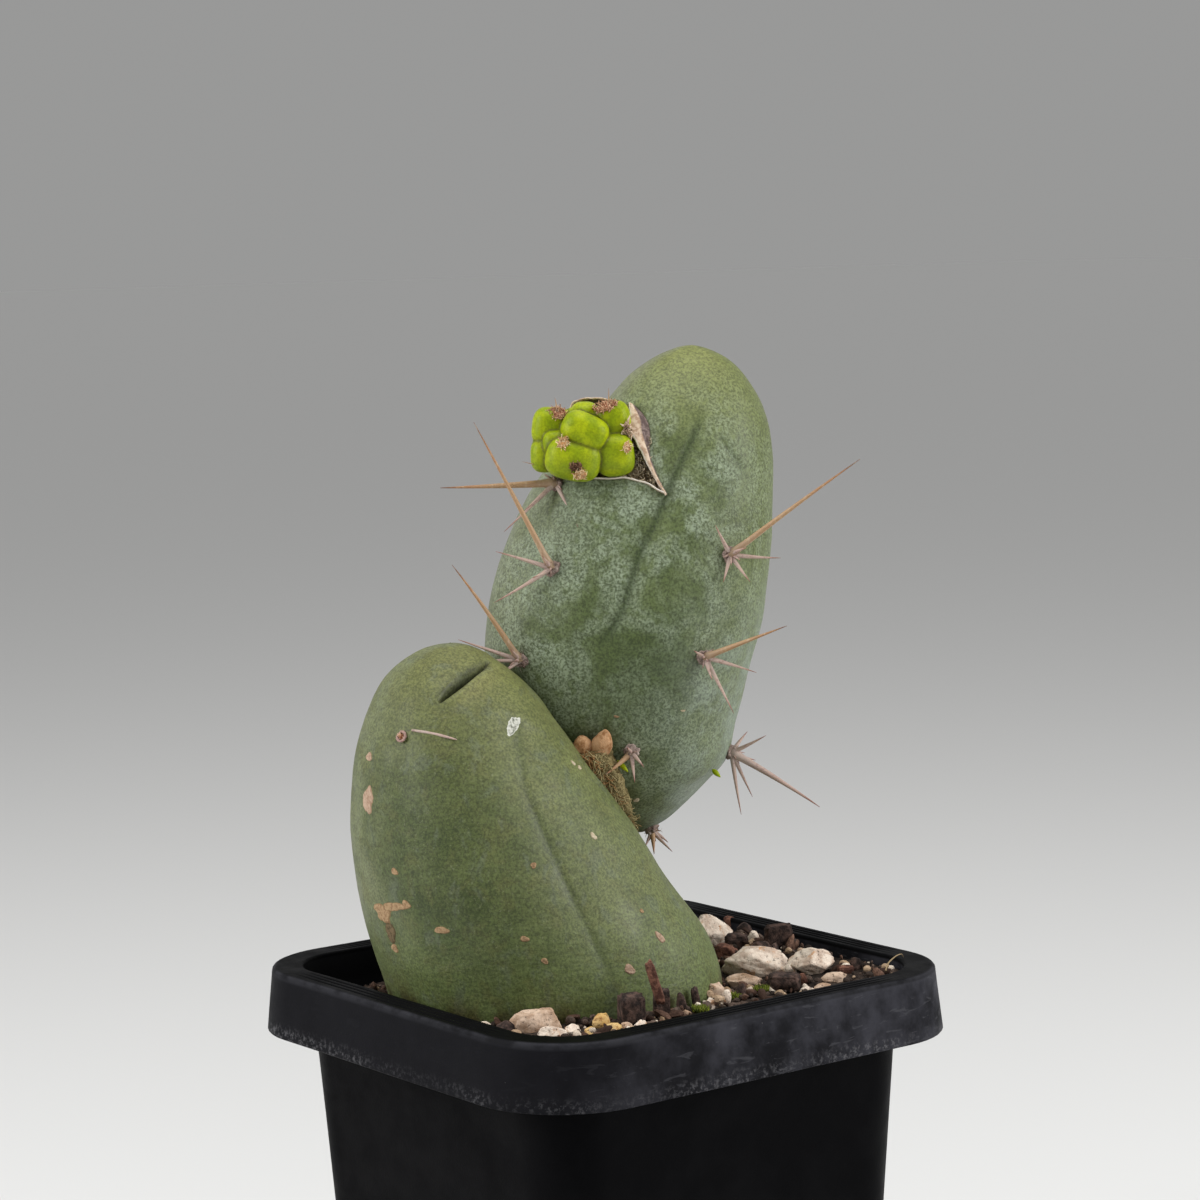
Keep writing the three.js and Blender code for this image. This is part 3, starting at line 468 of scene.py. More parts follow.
class Piece:
    """Points, faces and per-point values that grow into one Blender object."""

    def __init__(self):
        self.points = []
        self.faces = []
        self.slots = []
        self.values = []
        self.count = 0

    def add(self, points, faces, slot=0, value=0.0):
        points = np.asarray(points, float)
        self.points.append(points)
        self.faces.extend([tuple(int(k) + self.count for k in face) for face in faces])
        self.slots.extend([slot] * len(faces))
        self.values.append(np.broadcast_to(np.asarray(value, float), len(points)))
        self.count += len(points)

    def make(self, name, finishes, smooth=True, in_plant=True):
        points = np.vstack(self.points)
        values = {"value": np.concatenate(self.values)}
        return new_object(name, points, self.faces, finishes, values, self.slots, smooth, in_plant)


def new_object(name, points, faces, finishes, values=None, slots=None, smooth=True, in_plant=True):
    mesh = bpy.data.meshes.new(name)
    placed = to_row(points) if in_plant else np.asarray(points) * MM
    mesh.from_pydata(placed.tolist(), [], [tuple(face) for face in faces])
    for finish in finishes:
        mesh.materials.append(finish)
    if slots is not None and len(finishes) > 1:
        mesh.polygons.foreach_set("material_index", slots)
    for key, data in (values or {}).items():
        attribute = mesh.attributes.new(key, "FLOAT", "POINT")
        attribute.data.foreach_set("value", np.asarray(data, np.float32))
    mesh.polygons.foreach_set("use_smooth", [smooth] * len(mesh.polygons))
    mesh.update()
    made = bpy.data.objects.new(name, mesh)
    bpy.context.scene.collection.objects.link(made)
    return made


def settle(made, slot, *nodes):
    """The piece is attached to the root body and may stand for CAD nodes, which it hides. The slot is
    not used.
    """
    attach(made, "root")
    if nodes:
        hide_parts(*nodes)


def ball(detail):
    """Points and faces of a unit sphere made of triangles."""
    source = bmesh.new()
    bmesh.ops.create_icosphere(source, subdivisions=detail, radius=1)
    points = np.array([vertex.co[:] for vertex in source.verts])
    faces = [tuple(vertex.index for vertex in face.verts) for face in source.faces]
    source.free()
    return points, faces


BALLS = {detail: ball(detail) for detail in (1, 2, 3, 4, 5)}


def frame_of(direction):
    """Two directions square to this one."""
    direction = unit(direction)
    helper = np.array([0, 0, 1.0]) if abs(direction[2]) < 0.9 else np.array([1.0, 0, 0])
    side = unit(np.cross(direction, helper))
    return side, np.cross(side, direction)


def rotation(axis, degrees):
    """The 3 by 3 matrix of a turn round a main axis."""
    return np.array(Matrix.Rotation(math.radians(degrees), 3, axis))


def ring_faces(rings, count, closed=True):
    """Faces between rings of points, with the two end rings closed on request."""
    faces = []
    for ring in range(rings - 1):
        for k in range(count):
            a, b = ring * count + k, ring * count + (k + 1) % count
            faces.append((a, b, b + count, a + count))
    if closed:
        faces.append(tuple(range(count))[::-1])
        faces.append(tuple(range((rings - 1) * count, rings * count)))
    return faces


def tube(path, radii, sides):
    """A tube along a path with its ends closed; gives points, faces and the share along it."""
    path = np.asarray(path, float)
    tangents = unit(np.gradient(path, axis=0))
    side, _ = frame_of(tangents[0])
    points, shares = [], []
    angles = np.arange(sides) / sides * 2 * math.pi
    for i, (centre, tangent) in enumerate(zip(path, tangents)):
        side = unit(side - tangent * (side @ tangent))
        other = np.cross(tangent, side)
        ring = centre + radii[i] * (np.outer(np.cos(angles), side) + np.outer(np.sin(angles), other))
        points.append(ring)
        shares.append(np.full(sides, i / (len(path) - 1)))
    return np.vstack(points), ring_faces(len(path), sides), np.concatenate(shares)


def add_spine(piece, root, tip, radius, slot, bend=0.0, sides=8, steps=12):
    """A slightly bent taper with a swollen foot."""
    root, tip = np.asarray(root, float), np.asarray(tip, float)
    share = np.linspace(0, 1, steps)
    _, up = frame_of(tip - root)
    path = root + np.outer(share, tip - root) + np.outer(bend * 4 * share * (1 - share), up)
    radii = radius * (1.04 - share) ** 0.85 * (1 + 0.55 * np.exp(-((share / 0.06) ** 2)))
    points, faces, along = tube(path, radii, sides)
    piece.add(points, faces, slot, along)


# Stems


class Stem:
    """A stem whose skin is a formula of the share along it and the degrees round it."""

    def __init__(self, rows, foot, lean, valley, twist, relief):
        self.rows = rows
        self.foot = foot
        self.lean = math.radians(lean)
        self.valley = valley
        self.twist = twist
        self.relief = relief

    def smooth_point(self, along, around):
        along, around = np.broadcast_arrays(np.atleast_1d(along).astype(float), around)
        height, left, right, depth = through(self.rows, along).T
        angle = np.radians(around)
        valley = np.radians(self.valley + self.twist * along)
        swell = 1 + RIB_DEPTH * (1 - np.cos(RIBS * (angle - valley))) / 2
        sideways = (left + right) / 2 + (right - left) / 2 * np.cos(angle) * swell
        away = depth * np.sin(angle) * swell
        return np.column_stack([
            self.foot[0] + sideways * math.cos(self.lean) + height * math.sin(self.lean),
            self.foot[1] + away,
            self.foot[2] - sideways * math.sin(self.lean) + height * math.cos(self.lean),
        ])

    def normal(self, along, around):
        along = np.atleast_1d(along).astype(float)
        upward = self.smooth_point(along + 0.006, around) - self.smooth_point(along - 0.006, around)
        sideways = self.smooth_point(along, np.asarray(around) + 1.5) - self.smooth_point(
            along, np.asarray(around) - 1.5)
        return unit(np.cross(sideways, upward))

    def skin(self, along, around):
        """The skin with its relief."""
        along, around = np.broadcast_arrays(np.atleast_1d(along).astype(float), around)
        points = self.smooth_point(along, around)
        return points + self.normal(along, around) * self.relief(points, along, around)[:, None]

    def steps_per_mm(self, along, around):
        """How far one millimetre is in shares along and in degrees round."""
        upward = self.smooth_point(along + 0.01, around) - self.smooth_point(along - 0.01, around)
        sideways = self.smooth_point(along, around + 2) - self.smooth_point(along, around - 2)
        return 0.02 / np.linalg.norm(upward), 4 / np.linalg.norm(sideways)


def lower_relief(points, *_):
    lumps = 0.2 * noise(points, 10, 3) + 0.07 * noise(points, 3.5, 4) + 0.02 * noise(points, 1.1, 5)
    crease, share = path_distance(points, LOWER_CREASE_PATH)
    folds = faded_ends(share, 0.12, 0.85) * (-0.13 * bell(crease, 0.7) - 0.36 * bell(crease, 3.2))
    side, share = path_distance(points, LOWER_SIDE_PATH)
    folds -= faded_ends(share, 0.2, 0.8) * 0.35 * bell(side, 3)
    return lumps + folds + slit_relief(points)


def slit_place(points):
    """Place along the slit, from -1 to 1, and distance across it, positive on the dome's side."""
    distance, share = path_distance(points, SLIT_PATH)
    pieces = len(SLIT_PATH) - 1
    index = np.minimum((share * pieces).astype(int), pieces - 1)
    start, run = SLIT_PATH[index], np.diff(SLIT_PATH, axis=0)[index]
    dome_side = np.sum((points - start) * np.cross(SLIT_NORMALS[index], run), axis=1) > 0
    return 2 * share - 1, np.where(dome_side, distance, -distance)


def slit_relief(points):
    along, across = slit_place(points)
    taper = np.clip(1 - along**2, 0, 1)
    rise = smoothstep(across / (0.4 + 1.6 * taper), 0, 1)
    soft_side = -SLIT_DEPTH * (1 - rise) * smoothstep(across, -0.25, 0.05)
    lip = SLIT_LIP * bell(across + 0.8, 0.6)
    return taper**0.8 * (soft_side + lip)


def upper_relief(points, along, around):
    lumps = 0.2 * noise(points, 11, 13) + 0.08 * noise(points, 4, 14) + 0.02 * noise(points, 1.2, 15)
    valley, share = path_distance(points, UPPER_VALLEY_PATH)
    folds = faded_ends(share, 0.12, 0.88) * (-0.2 * bell(valley, 0.5) - 0.5 * bell(valley, 2.6))
    fold, share = path_distance(points, UPPER_FOLD_PATH)
    folds -= 0.22 * np.sin(np.pi * share) * bell(fold, 0.6)
    return lumps + folds - hole_depth(points, along, around)


def hole_share(points, along, around):
    """0 on sound skin to 1 inside the hole that the bud has torn."""
    near = inside_outline(np.asarray(along), np.asarray(around), HOLE_OUTLINE)
    inward, _ = path_distance(points, HOLE_PATH)
    return np.where(near, smoothstep(inward, 0, 0.7), 0)


def hole_depth(points, along, around):
    """How deep the ragged floor of the hole lies, in millimetres."""
    share = hole_share(points, along, around)
    return share * (0.75 + 0.25 * noise(points, 0.9, 17) + 0.2 * noise(points, 0.4, 18))


LOWER = Stem(LOWER_ROWS, (0, -1, 0), 0, 294, 0, lower_relief)
UPPER = Stem(UPPER_ROWS, (7.6, 15, 92.3), 5.7, 240, 40, upper_relief)


def path_on(stem, places, steps=40):
    """Points of a smooth line through these places on a stem."""
    along, around = through(np.array(places, float), np.linspace(0, 1, steps)).T
    return stem.smooth_point(along, around)


def normals_on(stem, places, steps=40):
    """The stem's directions outward at the points of such a line."""
    along, around = through(np.array(places, float), np.linspace(0, 1, steps)).T
    return stem.normal(along, around)


LOWER_CREASE_PATH = path_on(LOWER, LOWER_CREASE)
LOWER_SIDE_PATH = path_on(LOWER, LOWER_SIDE_CREASE)
UPPER_VALLEY_PATH = path_on(UPPER, UPPER_VALLEY)
UPPER_FOLD_PATH = path_on(UPPER, UPPER_FOLD)
HOLE_OUTLINE = SHEET_ROOT[::-1] + FLAP_ROOT + LOW_EDGE[1:] + HOLE_BEHIND_BUD
HOLE_PATH = path_on(UPPER, HOLE_OUTLINE + HOLE_OUTLINE[:1], 110)
SLIT_PATH = path_on(LOWER, SLIT, 24)
SLIT_NORMALS = normals_on(LOWER, SLIT, 24)


def shares(count, dense_at, width, extra, closed=True):
    """Shares from 0 to 1 that lie closer together round one place."""
    fine = np.linspace(0, 1, 4001)
    weight = 1 + extra * np.exp(-(((fine - dense_at) / width) ** 2))
    total = np.concatenate([[0], np.cumsum((weight[1:] + weight[:-1]) / 2)])
    wanted = np.linspace(0, 1, count + 1)[:-1] if closed else np.linspace(0, 1, count)
    return np.interp(wanted, total / total[-1], fine)


def stem_grid(stem, rows, columns):
    """Points of a whole stem with a pole at either end, its faces and its places."""
    along = rows[1:-1]
    around = columns * 360
    grid_along, grid_around = [a.ravel() for a in np.meshgrid(along, around, indexing="ij")]
    points = stem.skin(grid_along, grid_around)
    count = len(around)
    both_sides = np.array([0, 180])
    poles = [stem.smooth_point(np.full(2, end), both_sides).mean(axis=0) for end in (0.0, 1.0)]
    index = np.arange(len(along) * count).reshape(len(along), count)
    right = np.roll(index, -1, axis=1)
    quads = np.stack([index[:-1], right[:-1], right[1:], index[1:]], axis=-1).reshape(-1, 4)
    faces = [tuple(face) for face in quads.tolist()]
    low, high = len(points), len(points) + 1
    faces += [(low, int(right[0, k]), int(index[0, k])) for k in range(count)]
    faces += [(high, int(index[-1, k]), int(right[-1, k])) for k in range(count)]
    points = np.vstack([points, poles])
    places = (np.append(grid_along, [0, 1]), np.append(grid_around, [270, 270]))
    return points, faces, places


def make_lower_stem():
    """The lower stem, with finer rows and columns where the slit and the valley are."""
    rows = shares(232, 0.8, 0.09, 2.2, closed=False)
    columns = shares(300, 293 / 360, 0.11, 2)
    points, faces, (along, around) = stem_grid(LOWER, rows, columns)
    smooth = LOWER.smooth_point(along, around)
    crease, share = path_distance(smooth, LOWER_CREASE_PATH)
    slit_along, slit_across = slit_place(smooth)
    taper = np.clip(1 - slit_along**2, 0, 1)
    to_right = np.cos(np.radians(around))
    values = {
        # Painted shade along the crease of the lower stem.
        "crease": bell(crease, 0.9) * faded_ends(share, 0.1, 0.9),
        # Painted shadow at the bottom of the slit, under its lip.
        "slit": taper**0.5 * bell(slit_across - 0.15, 0.35),
        # Painted shade on the soft slope down into the slit.
        "slit_slope_shade": taper * (1 - smoothstep(slit_across, 0.6, 2.4)) * smoothstep(slit_across, -0.1, 0.3),
        # A lighter yellow-green band below the slit's lip: its own yellowish skin with a painted
        # highlight on it.
        "lip": taper**0.5 * bell(slit_across + 1.5, 1.5) * smoothstep(slit_along, -1.2, 0.4),
        # Painted light: the left and right sides and the top of the lower stem are painted lighter
        # where the side and top lamps fall on them.
        "left": smoothstep(-to_right, 0.55, 0.95),
        "right": smoothstep(to_right, -0.25, 0.75),
        "lit_crown": smoothstep(along, 0.5, 0.95),
        # Painted light: the foot of the stem is painted lighter against the shade of the soil and the
        # pot.
        "low": 1 - smoothstep(points[:, 2], 72, 90),
        "stain": 1 - smoothstep(points[:, 2], 71.5, 76.5),
    }
    made = new_object("lower_stem_skin", points, faces, [lower_skin_finish()], values)
    settle(made, "lower_skin", "lower_stem")


def seat_on_lower(points):
    """Points that would lie inside the lower stem are set on its far surface."""
    heights = np.array(LOWER_ROWS)[:, 0]
    inside_range = points[:, 2] < heights[-1]
    height_share = np.interp(points[:, 2], heights, np.linspace(0, 1, len(heights)))
    _, left, right, depth = through(LOWER_ROWS, height_share).T
    across = (points[:, 0] - (left + right) / 2) / np.maximum((right - left) / 2, 0.1)
    reach = np.maximum(depth, 0.1) * np.sqrt(np.clip(1 - across**2, 0, 1))
    deep = inside_range & (np.abs(across) < 1) & (np.abs(points[:, 1] + 1) < reach)
    seated = points.copy()
    seated[deep, 1] = reach[deep] - 1
    return seated


def make_upper_stem():
    """The upper stem, with finer rows and columns round the bud's hole."""
    rows = shares(232, 0.73, 0.09, 1.6, closed=False)
    columns = shares(290, 240 / 360, 0.14, 1.4)
    points, faces, (along, around) = stem_grid(UPPER, rows, columns)
    smooth = UPPER.smooth_point(along, around)
    points = seat_on_lower(points)
    valley, share = path_distance(smooth, UPPER_VALLEY_PATH)
    fold, fold_share = path_distance(smooth, UPPER_FOLD_PATH)
    in_fold = 0.5 * bell(fold, 0.7) * np.sin(np.pi * fold_share)
    to_right = np.cos(np.radians(around))
    # Painted shade on the front of the upper stem round the joint, where it rises behind the lower
    # stem.
    by_joint = bell(points[:, 0] - 6, 11) * bell(points[:, 2] - 118, 12)
    values = {
        # Painted shade along the valley and in the small fold.
        "crease": np.maximum(bell(valley, 0.7) * faded_ends(share, 0.1, 0.9), in_fold),
        "hole": hole_share(smooth, along, around),
        # Painted light: the left and right edges and the top of the upper stem are painted lighter
        # where the lamps fall on them.
        "left": smoothstep(-to_right, 0.6, 0.98),
        "right": smoothstep(to_right, 0.35, 0.95),
        "lit_crown": smoothstep(along, 0.68, 0.96),
        "low": 1 - smoothstep(along, 0.14, 0.46),
        "pale_low": smoothstep(to_right, 0.1, 0.8) * (1 - smoothstep(along, 0.4, 0.6)),
        # Painted shade round the joint.
        "joint_shade": by_joint * (points[:, 1] < 12),
    }
    made = new_object("upper_stem_skin", points, faces, [upper_skin_finish()], values)
    settle(made, "upper_skin", "upper_stem")


def add_flake(piece, stem, along, around, width, height, lean, slot, seed):
    """A thin irregular crust that follows the stem's skin."""
    random = np.random.default_rng(seed)
    sides, rings = 36, 5
    angles = np.arange(sides) / sides * 2 * math.pi
    ragged = 0.08 if max(width, height) > 3.5 else 0.03
    edge = 1 + 0.12 * np.sin(2 * angles + 6 * random.random())
    edge += 0.1 * np.sin(3 * angles + 6 * random.random())
    edge += ragged * np.sin(5 * angles + 6 * random.random()) + 0.6 * ragged * random.normal(size=sides)
    per_along, per_around = stem.steps_per_mm(along, around)
    tilt = math.radians(lean)
    places, lifts = [(along, around)], [FLAKE_LIFT]
    for ring in range(1, rings + 1):
        share = ring / rings
        across = np.cos(angles) * edge * width / 2 * share
        up = np.sin(angles) * edge * height / 2 * share
        turned = across * math.cos(tilt) - up * math.sin(tilt)
        raised = across * math.sin(tilt) + up * math.cos(tilt)
        for x, z in zip(turned, raised):
            places.append((along + z * per_along, around + x * per_around))
            lifts.append(FLAKE_LIFT - 0.1 * random.random() if ring < rings else -0.12)
    table = np.array(places)
    normals = stem.normal(table[:, 0], table[:, 1])
    points = stem.skin(table[:, 0], table[:, 1]) + normals * np.array(lifts)[:, None]
    faces = [(0, 1 + k, 1 + (k + 1) % sides) for k in range(sides)]
    for ring in range(rings - 1):
        for k in range(sides):
            a = 1 + ring * sides + k
            b = 1 + ring * sides + (k + 1) % sides
            faces.append((a, a + sides, b + sides, b))
    distance = np.concatenate([[0], np.repeat(np.arange(1, rings + 1) / rings, sides)])
    piece.add(points, faces, slot, distance)


def make_scars():
    """All crusts on the two stems, as one piece."""
    kinds = ["tan", "pink", "brown", "cream", "white"]
    finishes = [scar_finish(kind) for kind in kinds]
    piece = Piece()
    for stem, scars, seed in ((LOWER, LOWER_SCARS, 40), (UPPER, UPPER_SCARS, 80)):
        for i, (*place_and_size, kind) in enumerate(scars):
            add_flake(piece, stem, *place_and_size, kinds.index(kind), seed + i)
    settle(piece.make("skin_scars", finishes), "cork")


def make_leaves():
    """The small green leaves that stand by two areoles."""
    piece = Piece()
    for foot, tip in LEAVES:
        share = np.linspace(0, 1, 12)
        path = np.array(foot) + np.outer(share, np.subtract(tip, foot))
        points, faces, _ = tube(path, 0.06 + 0.34 * np.sin(np.pi * share**0.8), 10)
        piece.add(points, faces)
    settle(piece.make("green_leaves", [bud_finish()]), "bud_skin")


# Areoles


def add_cushion(piece, seat, out, radius, seed, slot, fibres=90):
    """A knobby woolly cushion with fine hairs."""
    random = np.random.default_rng(seed)
    points, faces = BALLS[4]
    lumps = 0.3 * noise(points, 0.6, seed) + 0.16 * noise(points, 0.28, seed + 1)
    lumpy = points * (1 + lumps)[:, None]
    side, up = frame_of(out)
    flat = lumpy @ np.array([side * radius, up * radius * 0.9, unit(out) * radius * 0.62])
    piece.add(seat + flat, faces, slot, 0.4 + 0.4 * noise(points, 0.4, seed + 2))
    knob_points, knob_faces = BALLS[2]
    for _ in range(9):
        knob = unit(unit(out) * 0.6 + side * random.normal() + up * random.normal())
        size = radius * (0.14 + 0.16 * random.random())
        spot = seat + knob * radius * (0.72 + 0.24 * random.random())
        piece.add(spot + knob_points * size, knob_faces, slot, random.random())
    for _ in range(fibres):
        root = seat + 0.7 * radius * unit(random.normal(size=3))
        add_hair(piece, root, out, radius * 0.9, random, slot)


def add_hair(piece, root, out, length, random, slot, radius=0.05, value=None):
    """One short bent hair that lies more along the surface than away from it."""
    way = unit(0.5 * unit(out) + 0.7 * random.normal(size=3))
    tip = root + way * length * (0.5 + 0.7 * random.random())
    middle = (root + tip) / 2 + 0.14 * length * random.normal(size=3)
    points, faces, _ = tube([root, middle, tip], [radius, radius * 0.85, radius * 0.35], 3)
    piece.add(points, faces, slot, random.random() if value is None else value)


def ruled_tips(out, random):
    """One long spine away from the viewer and a little up, with shorter ones round it."""
    up = unit(np.array([0, 0, 1.0]) - out * out[2])
    side = np.cross(out, up)
    central = (0.35 * out + 0.65 * np.array([0, 1.0, 0])) * (13 + 5 * random.random())
    central = central + up * (2 + 5 * random.random()) + side * 4 * (random.random() - 0.5)
    tips = [central]
    for i in range(5):
        angle = (i + 0.4 * random.random()) / 5 * 2 * math.pi
        length = 3.4 + 3 * random.random()
        tips.append(out * 2.4 + up * length * math.sin(angle) + side * length * math.cos(angle))
    return tips


def make_areole(name, along, around, tips, finishes, seed, thick=False, pale=False):
    """A woolly cushion on the upper stem; the first tip is that of its long spine."""
    random = np.random.default_rng(seed)
    seat = UPPER.skin(along, around)[0]
    out = UPPER.normal(along, around)[0]
    heart = seat + out * CUSHION_LIFT
    piece = Piece()
    add_cushion(piece, seat + out * 0.2, out, CUSHION_RADIUS, seed, WOOL)
    for order, step in enumerate(tips):
        long = order == 0
        radius = (THICK_SPINE_RADIUS if thick else LONG_SPINE_RADIUS) if long else SHORT_SPINE_RADIUS
        tip = seat + np.asarray(step, float)
        bend = (0.5 if long else 0.25) * (random.random() - 0.5)
        slot = PALE_SPINE if pale or not long else LONG_SPINE
        add_spine(piece, heart, tip, radius, slot, bend, 10 if long else 8, 18 if long else 10)
    for _ in range(5):
        stub = heart + unit(out + 0.9 * random.normal(size=3)) * (1.3 + 1.1 * random.random())
        add_spine(piece, heart, stub, STUB_RADIUS, PALE_SPINE, 0.1, 6, 6)
    settle(piece.make(name + "_dressed", finishes), "spine", name)


def make_areoles():
    """The areoles in view, those on the far side, the worn ones and the loose spine."""
    finishes = [spine_finish(), wool_finish(), pale_spine_finish(), tuft_finish("rust")]
    for i, (name, areole) in enumerate(AREOLES.items()):
        make_areole(name, finishes=finishes, seed=200 + i, **areole)
    for i, (name, (along, around)) in enumerate(FAR_AREOLES.items()):
        random = np.random.default_rng(500 + i)
        tips = ruled_tips(UPPER.normal(along, around)[0], random)
        make_areole(name, along, around, tips, finishes, 220 + i)
    for i, (name, (along, around)) in enumerate(WORN_AREOLES.items()):
        make_worn_areole(name, along, around, finishes, 240 + i)
    make_loose_spine(finishes)


def make_worn_areole(name, along, around, finishes, seed):
    """A corky ring with a stub of wool and broken spines in it."""
    random = np.random.default_rng(seed)
    seat = LOWER.skin(along, around)[0]
    out = LOWER.normal(along, around)[0]
    side, up = frame_of(out)
    piece = Piece()
    angles = np.linspace(0, 2 * math.pi, 25)[:-1]
    reach = 0.78 * WORN_CUSHION_RADIUS
    ring = [seat + out * 0.12 + reach * (math.cos(a) * side + math.sin(a) * up) for a in angles]
    points, faces, _ = tube(ring + [ring[0]], np.full(25, 0.2), 8)
    piece.add(points + 0.06 * random.normal(size=points.shape), faces, PALE_SPINE, 0.8)
    add_cushion(piece, seat - out * 0.1, out, 0.5 * WORN_CUSHION_RADIUS, seed, RUSTY_WOOL, 14)
    for _ in range(3):
        stub = seat + out * 0.9 + 0.7 * (random.random(3) - 0.5)
        add_spine(piece, seat, stub, 0.2, RUSTY_WOOL, 0, 7, 6)
    settle(piece.make(name + "_dressed", finishes), "spine", name)


def make_loose_spine(finishes):
    """A broken spine that lies on the lower stem."""
    lift = LOOSE_SPINE_RADIUS + 0.05
    ends = [LOWER.skin(*place)[0] + LOWER.normal(*place)[0] * lift for place in LOOSE_SPINE_ENDS]
    piece = Piece()
    share = np.linspace(0, 1, 16)
    path = ends[0] + np.outer(share, ends[1] - ends[0]) + np.outer(0.5 * share * (1 - share), (0, 0, 1))
    radii = LOOSE_SPINE_RADIUS * (0.35 + 1.1 * np.sin(np.pi * np.clip(0.1 + 0.9 * share, 0, 1)) ** 0.6)
    points, faces, _ = tube(path, radii, 8)
    piece.add(points, faces, PALE_SPINE, 0.6 * np.repeat(share, 8))
    settle(piece.make("loose_spine_dressed", finishes), "spine", "loose_spine")


# Bud and torn skin


def make_bud():
    """Pressed bumps: overlapping balls, joined by a voxel remesh and lightly smoothed."""
    piece = Piece()
    unit_points, faces = BALLS[5]
    boxy = unit_points / bump_length(unit_points)[:, None]
    piece.add(np.array(BUD_CORE[:3]) + unit_points * BUD_CORE[3:], faces)
    for x, y, z, half_x, half_y, half_z, turn in BUD_BUMPS:
        turned = boxy * (half_x, half_y, half_z) @ rotation("Y", turn).T
        piece.add(np.array([x, y, z]) + turned, faces)
    rough_bud = piece.make("bud_rough", [])
    remesh = rough_bud.modifiers.new("voxels", "REMESH")
    remesh.mode = "VOXEL"
    remesh.voxel_size = BUD_VOXEL * MM
    smooth = rough_bud.modifiers.new("smooth", "SMOOTH")
    smooth.factor = 0.5
    smooth.iterations = 8
    evaluated = rough_bud.evaluated_get(bpy.context.evaluated_depsgraph_get())
    mesh = evaluated.to_mesh()
    count = len(mesh.vertices)
    flat = np.empty(count * 3)
    mesh.vertices.foreach_get("co", flat)
    bud_faces = [tuple(polygon.vertices) for polygon in mesh.polygons]
    evaluated.to_mesh_clear()
    bpy.data.objects.remove(rough_bud)
    points = flat.reshape(-1, 3) / MM @ TURN_TO_ROW
    norms = []
    for x, y, z, half_x, half_y, half_z, turn in BUD_BUMPS:
        size = np.array([half_x, half_y, half_z])
        inward = (points - (x, y, z)) @ rotation("Y", turn) / size
        norms.append((bump_length(inward) - 1) * size.min())
    norms = np.sort(np.array(norms), axis=0)
    values = {
        # Painted shade in the creases between the bumps.
        "crease": bell(norms[1] - norms[0], 0.28),
        # Darker towards the bottom: partly its own darker green, partly painted shade.
        "low": 1 - smoothstep(points[:, 2], 147, 153),
    }
    points = points + 0.05 * noise(points, 1.6, 61)[:, None] * unit(points - np.array(BUD_CORE[:3]))
    made = new_object("bud_skin", points, bud_faces, [bud_finish()], values)
    settle(made, "bud_skin", "bud")


def bump_length(points):
    """Length by the rule that makes a bump of the bud a little boxy."""
    return np.sum(np.abs(points) ** BUMP_SQUARENESS, axis=1) ** (1 / BUMP_SQUARENESS)


def make_bud_tufts():
    """Flat patches of tangled wool on the bud, with fine spines in them."""
    tones = ["rust", "brown", "cream"]
    finishes = [tuft_finish(tone) for tone in tones] + [spine_finish()]
    piece = Piece()
    points, faces = BALLS[3]
    for i, (seat, out, half_width, half_height, turn, hairs, tone) in enumerate(BUD_TUFTS):
        random = np.random.default_rng(300 + i)
        seat, out = np.array(seat), unit(out)
        side = rotation("Y", turn) @ np.array([1.0, 0, 0])
        side = unit(side - out * (side @ out))
        up = np.cross(side, out)
        slot = tones.index(tone)
        bed = points * (1 + 0.25 * noise(points, 0.5, 330 + i)[:, None])
        bed = bed @ np.array([side * half_width * 0.85, up * half_height * 0.85, out * 0.3])
        piece.add(seat - out * 0.1 + bed, faces, slot, 0.3)
        for _ in range(hairs):
            reach, angle = random.random() ** 0.5, 2 * math.pi * random.random()
            root = seat + side * half_width * reach * math.cos(angle)
            root = root + up * half_height * reach * math.sin(angle)
            add_hair(piece, root, out, 0.65, random, slot, 0.07, 0.2 + 0.8 * random.random())
    for foot, tip in BUD_SPINES:
        add_spine(piece, foot, tip, BUD_SPINE_RADIUS, 3, 0.1, 6, 8)
    settle(piece.make("bud_tufts", finishes), "spine")


def add_sheet(piece, rows, shares_across, thickness):
    """A thin closed sheet through rows of points, with the share across it as value."""
    rows = [np.asarray(row, float) for row in rows]
    steps = len(rows[0])
    across = rows[-1] - rows[0]
    along = np.gradient((rows[0] + rows[-1]) / 2, axis=0)
    face = unit(np.cross(along, across)) * thickness / 2
    thin = [1 - 0.5 * share for share in shares_across]
    loop = [row + face * t for row, t in zip(rows, thin)]
    loop += [row - face * t for row, t in zip(rows[::-1], thin[::-1])]
    values = [*shares_across, *shares_across[::-1]]
    points = np.stack(loop, axis=1).reshape(-1, 3)
    piece.add(points, ring_faces(steps, len(loop)), 0, np.tile(values, steps))


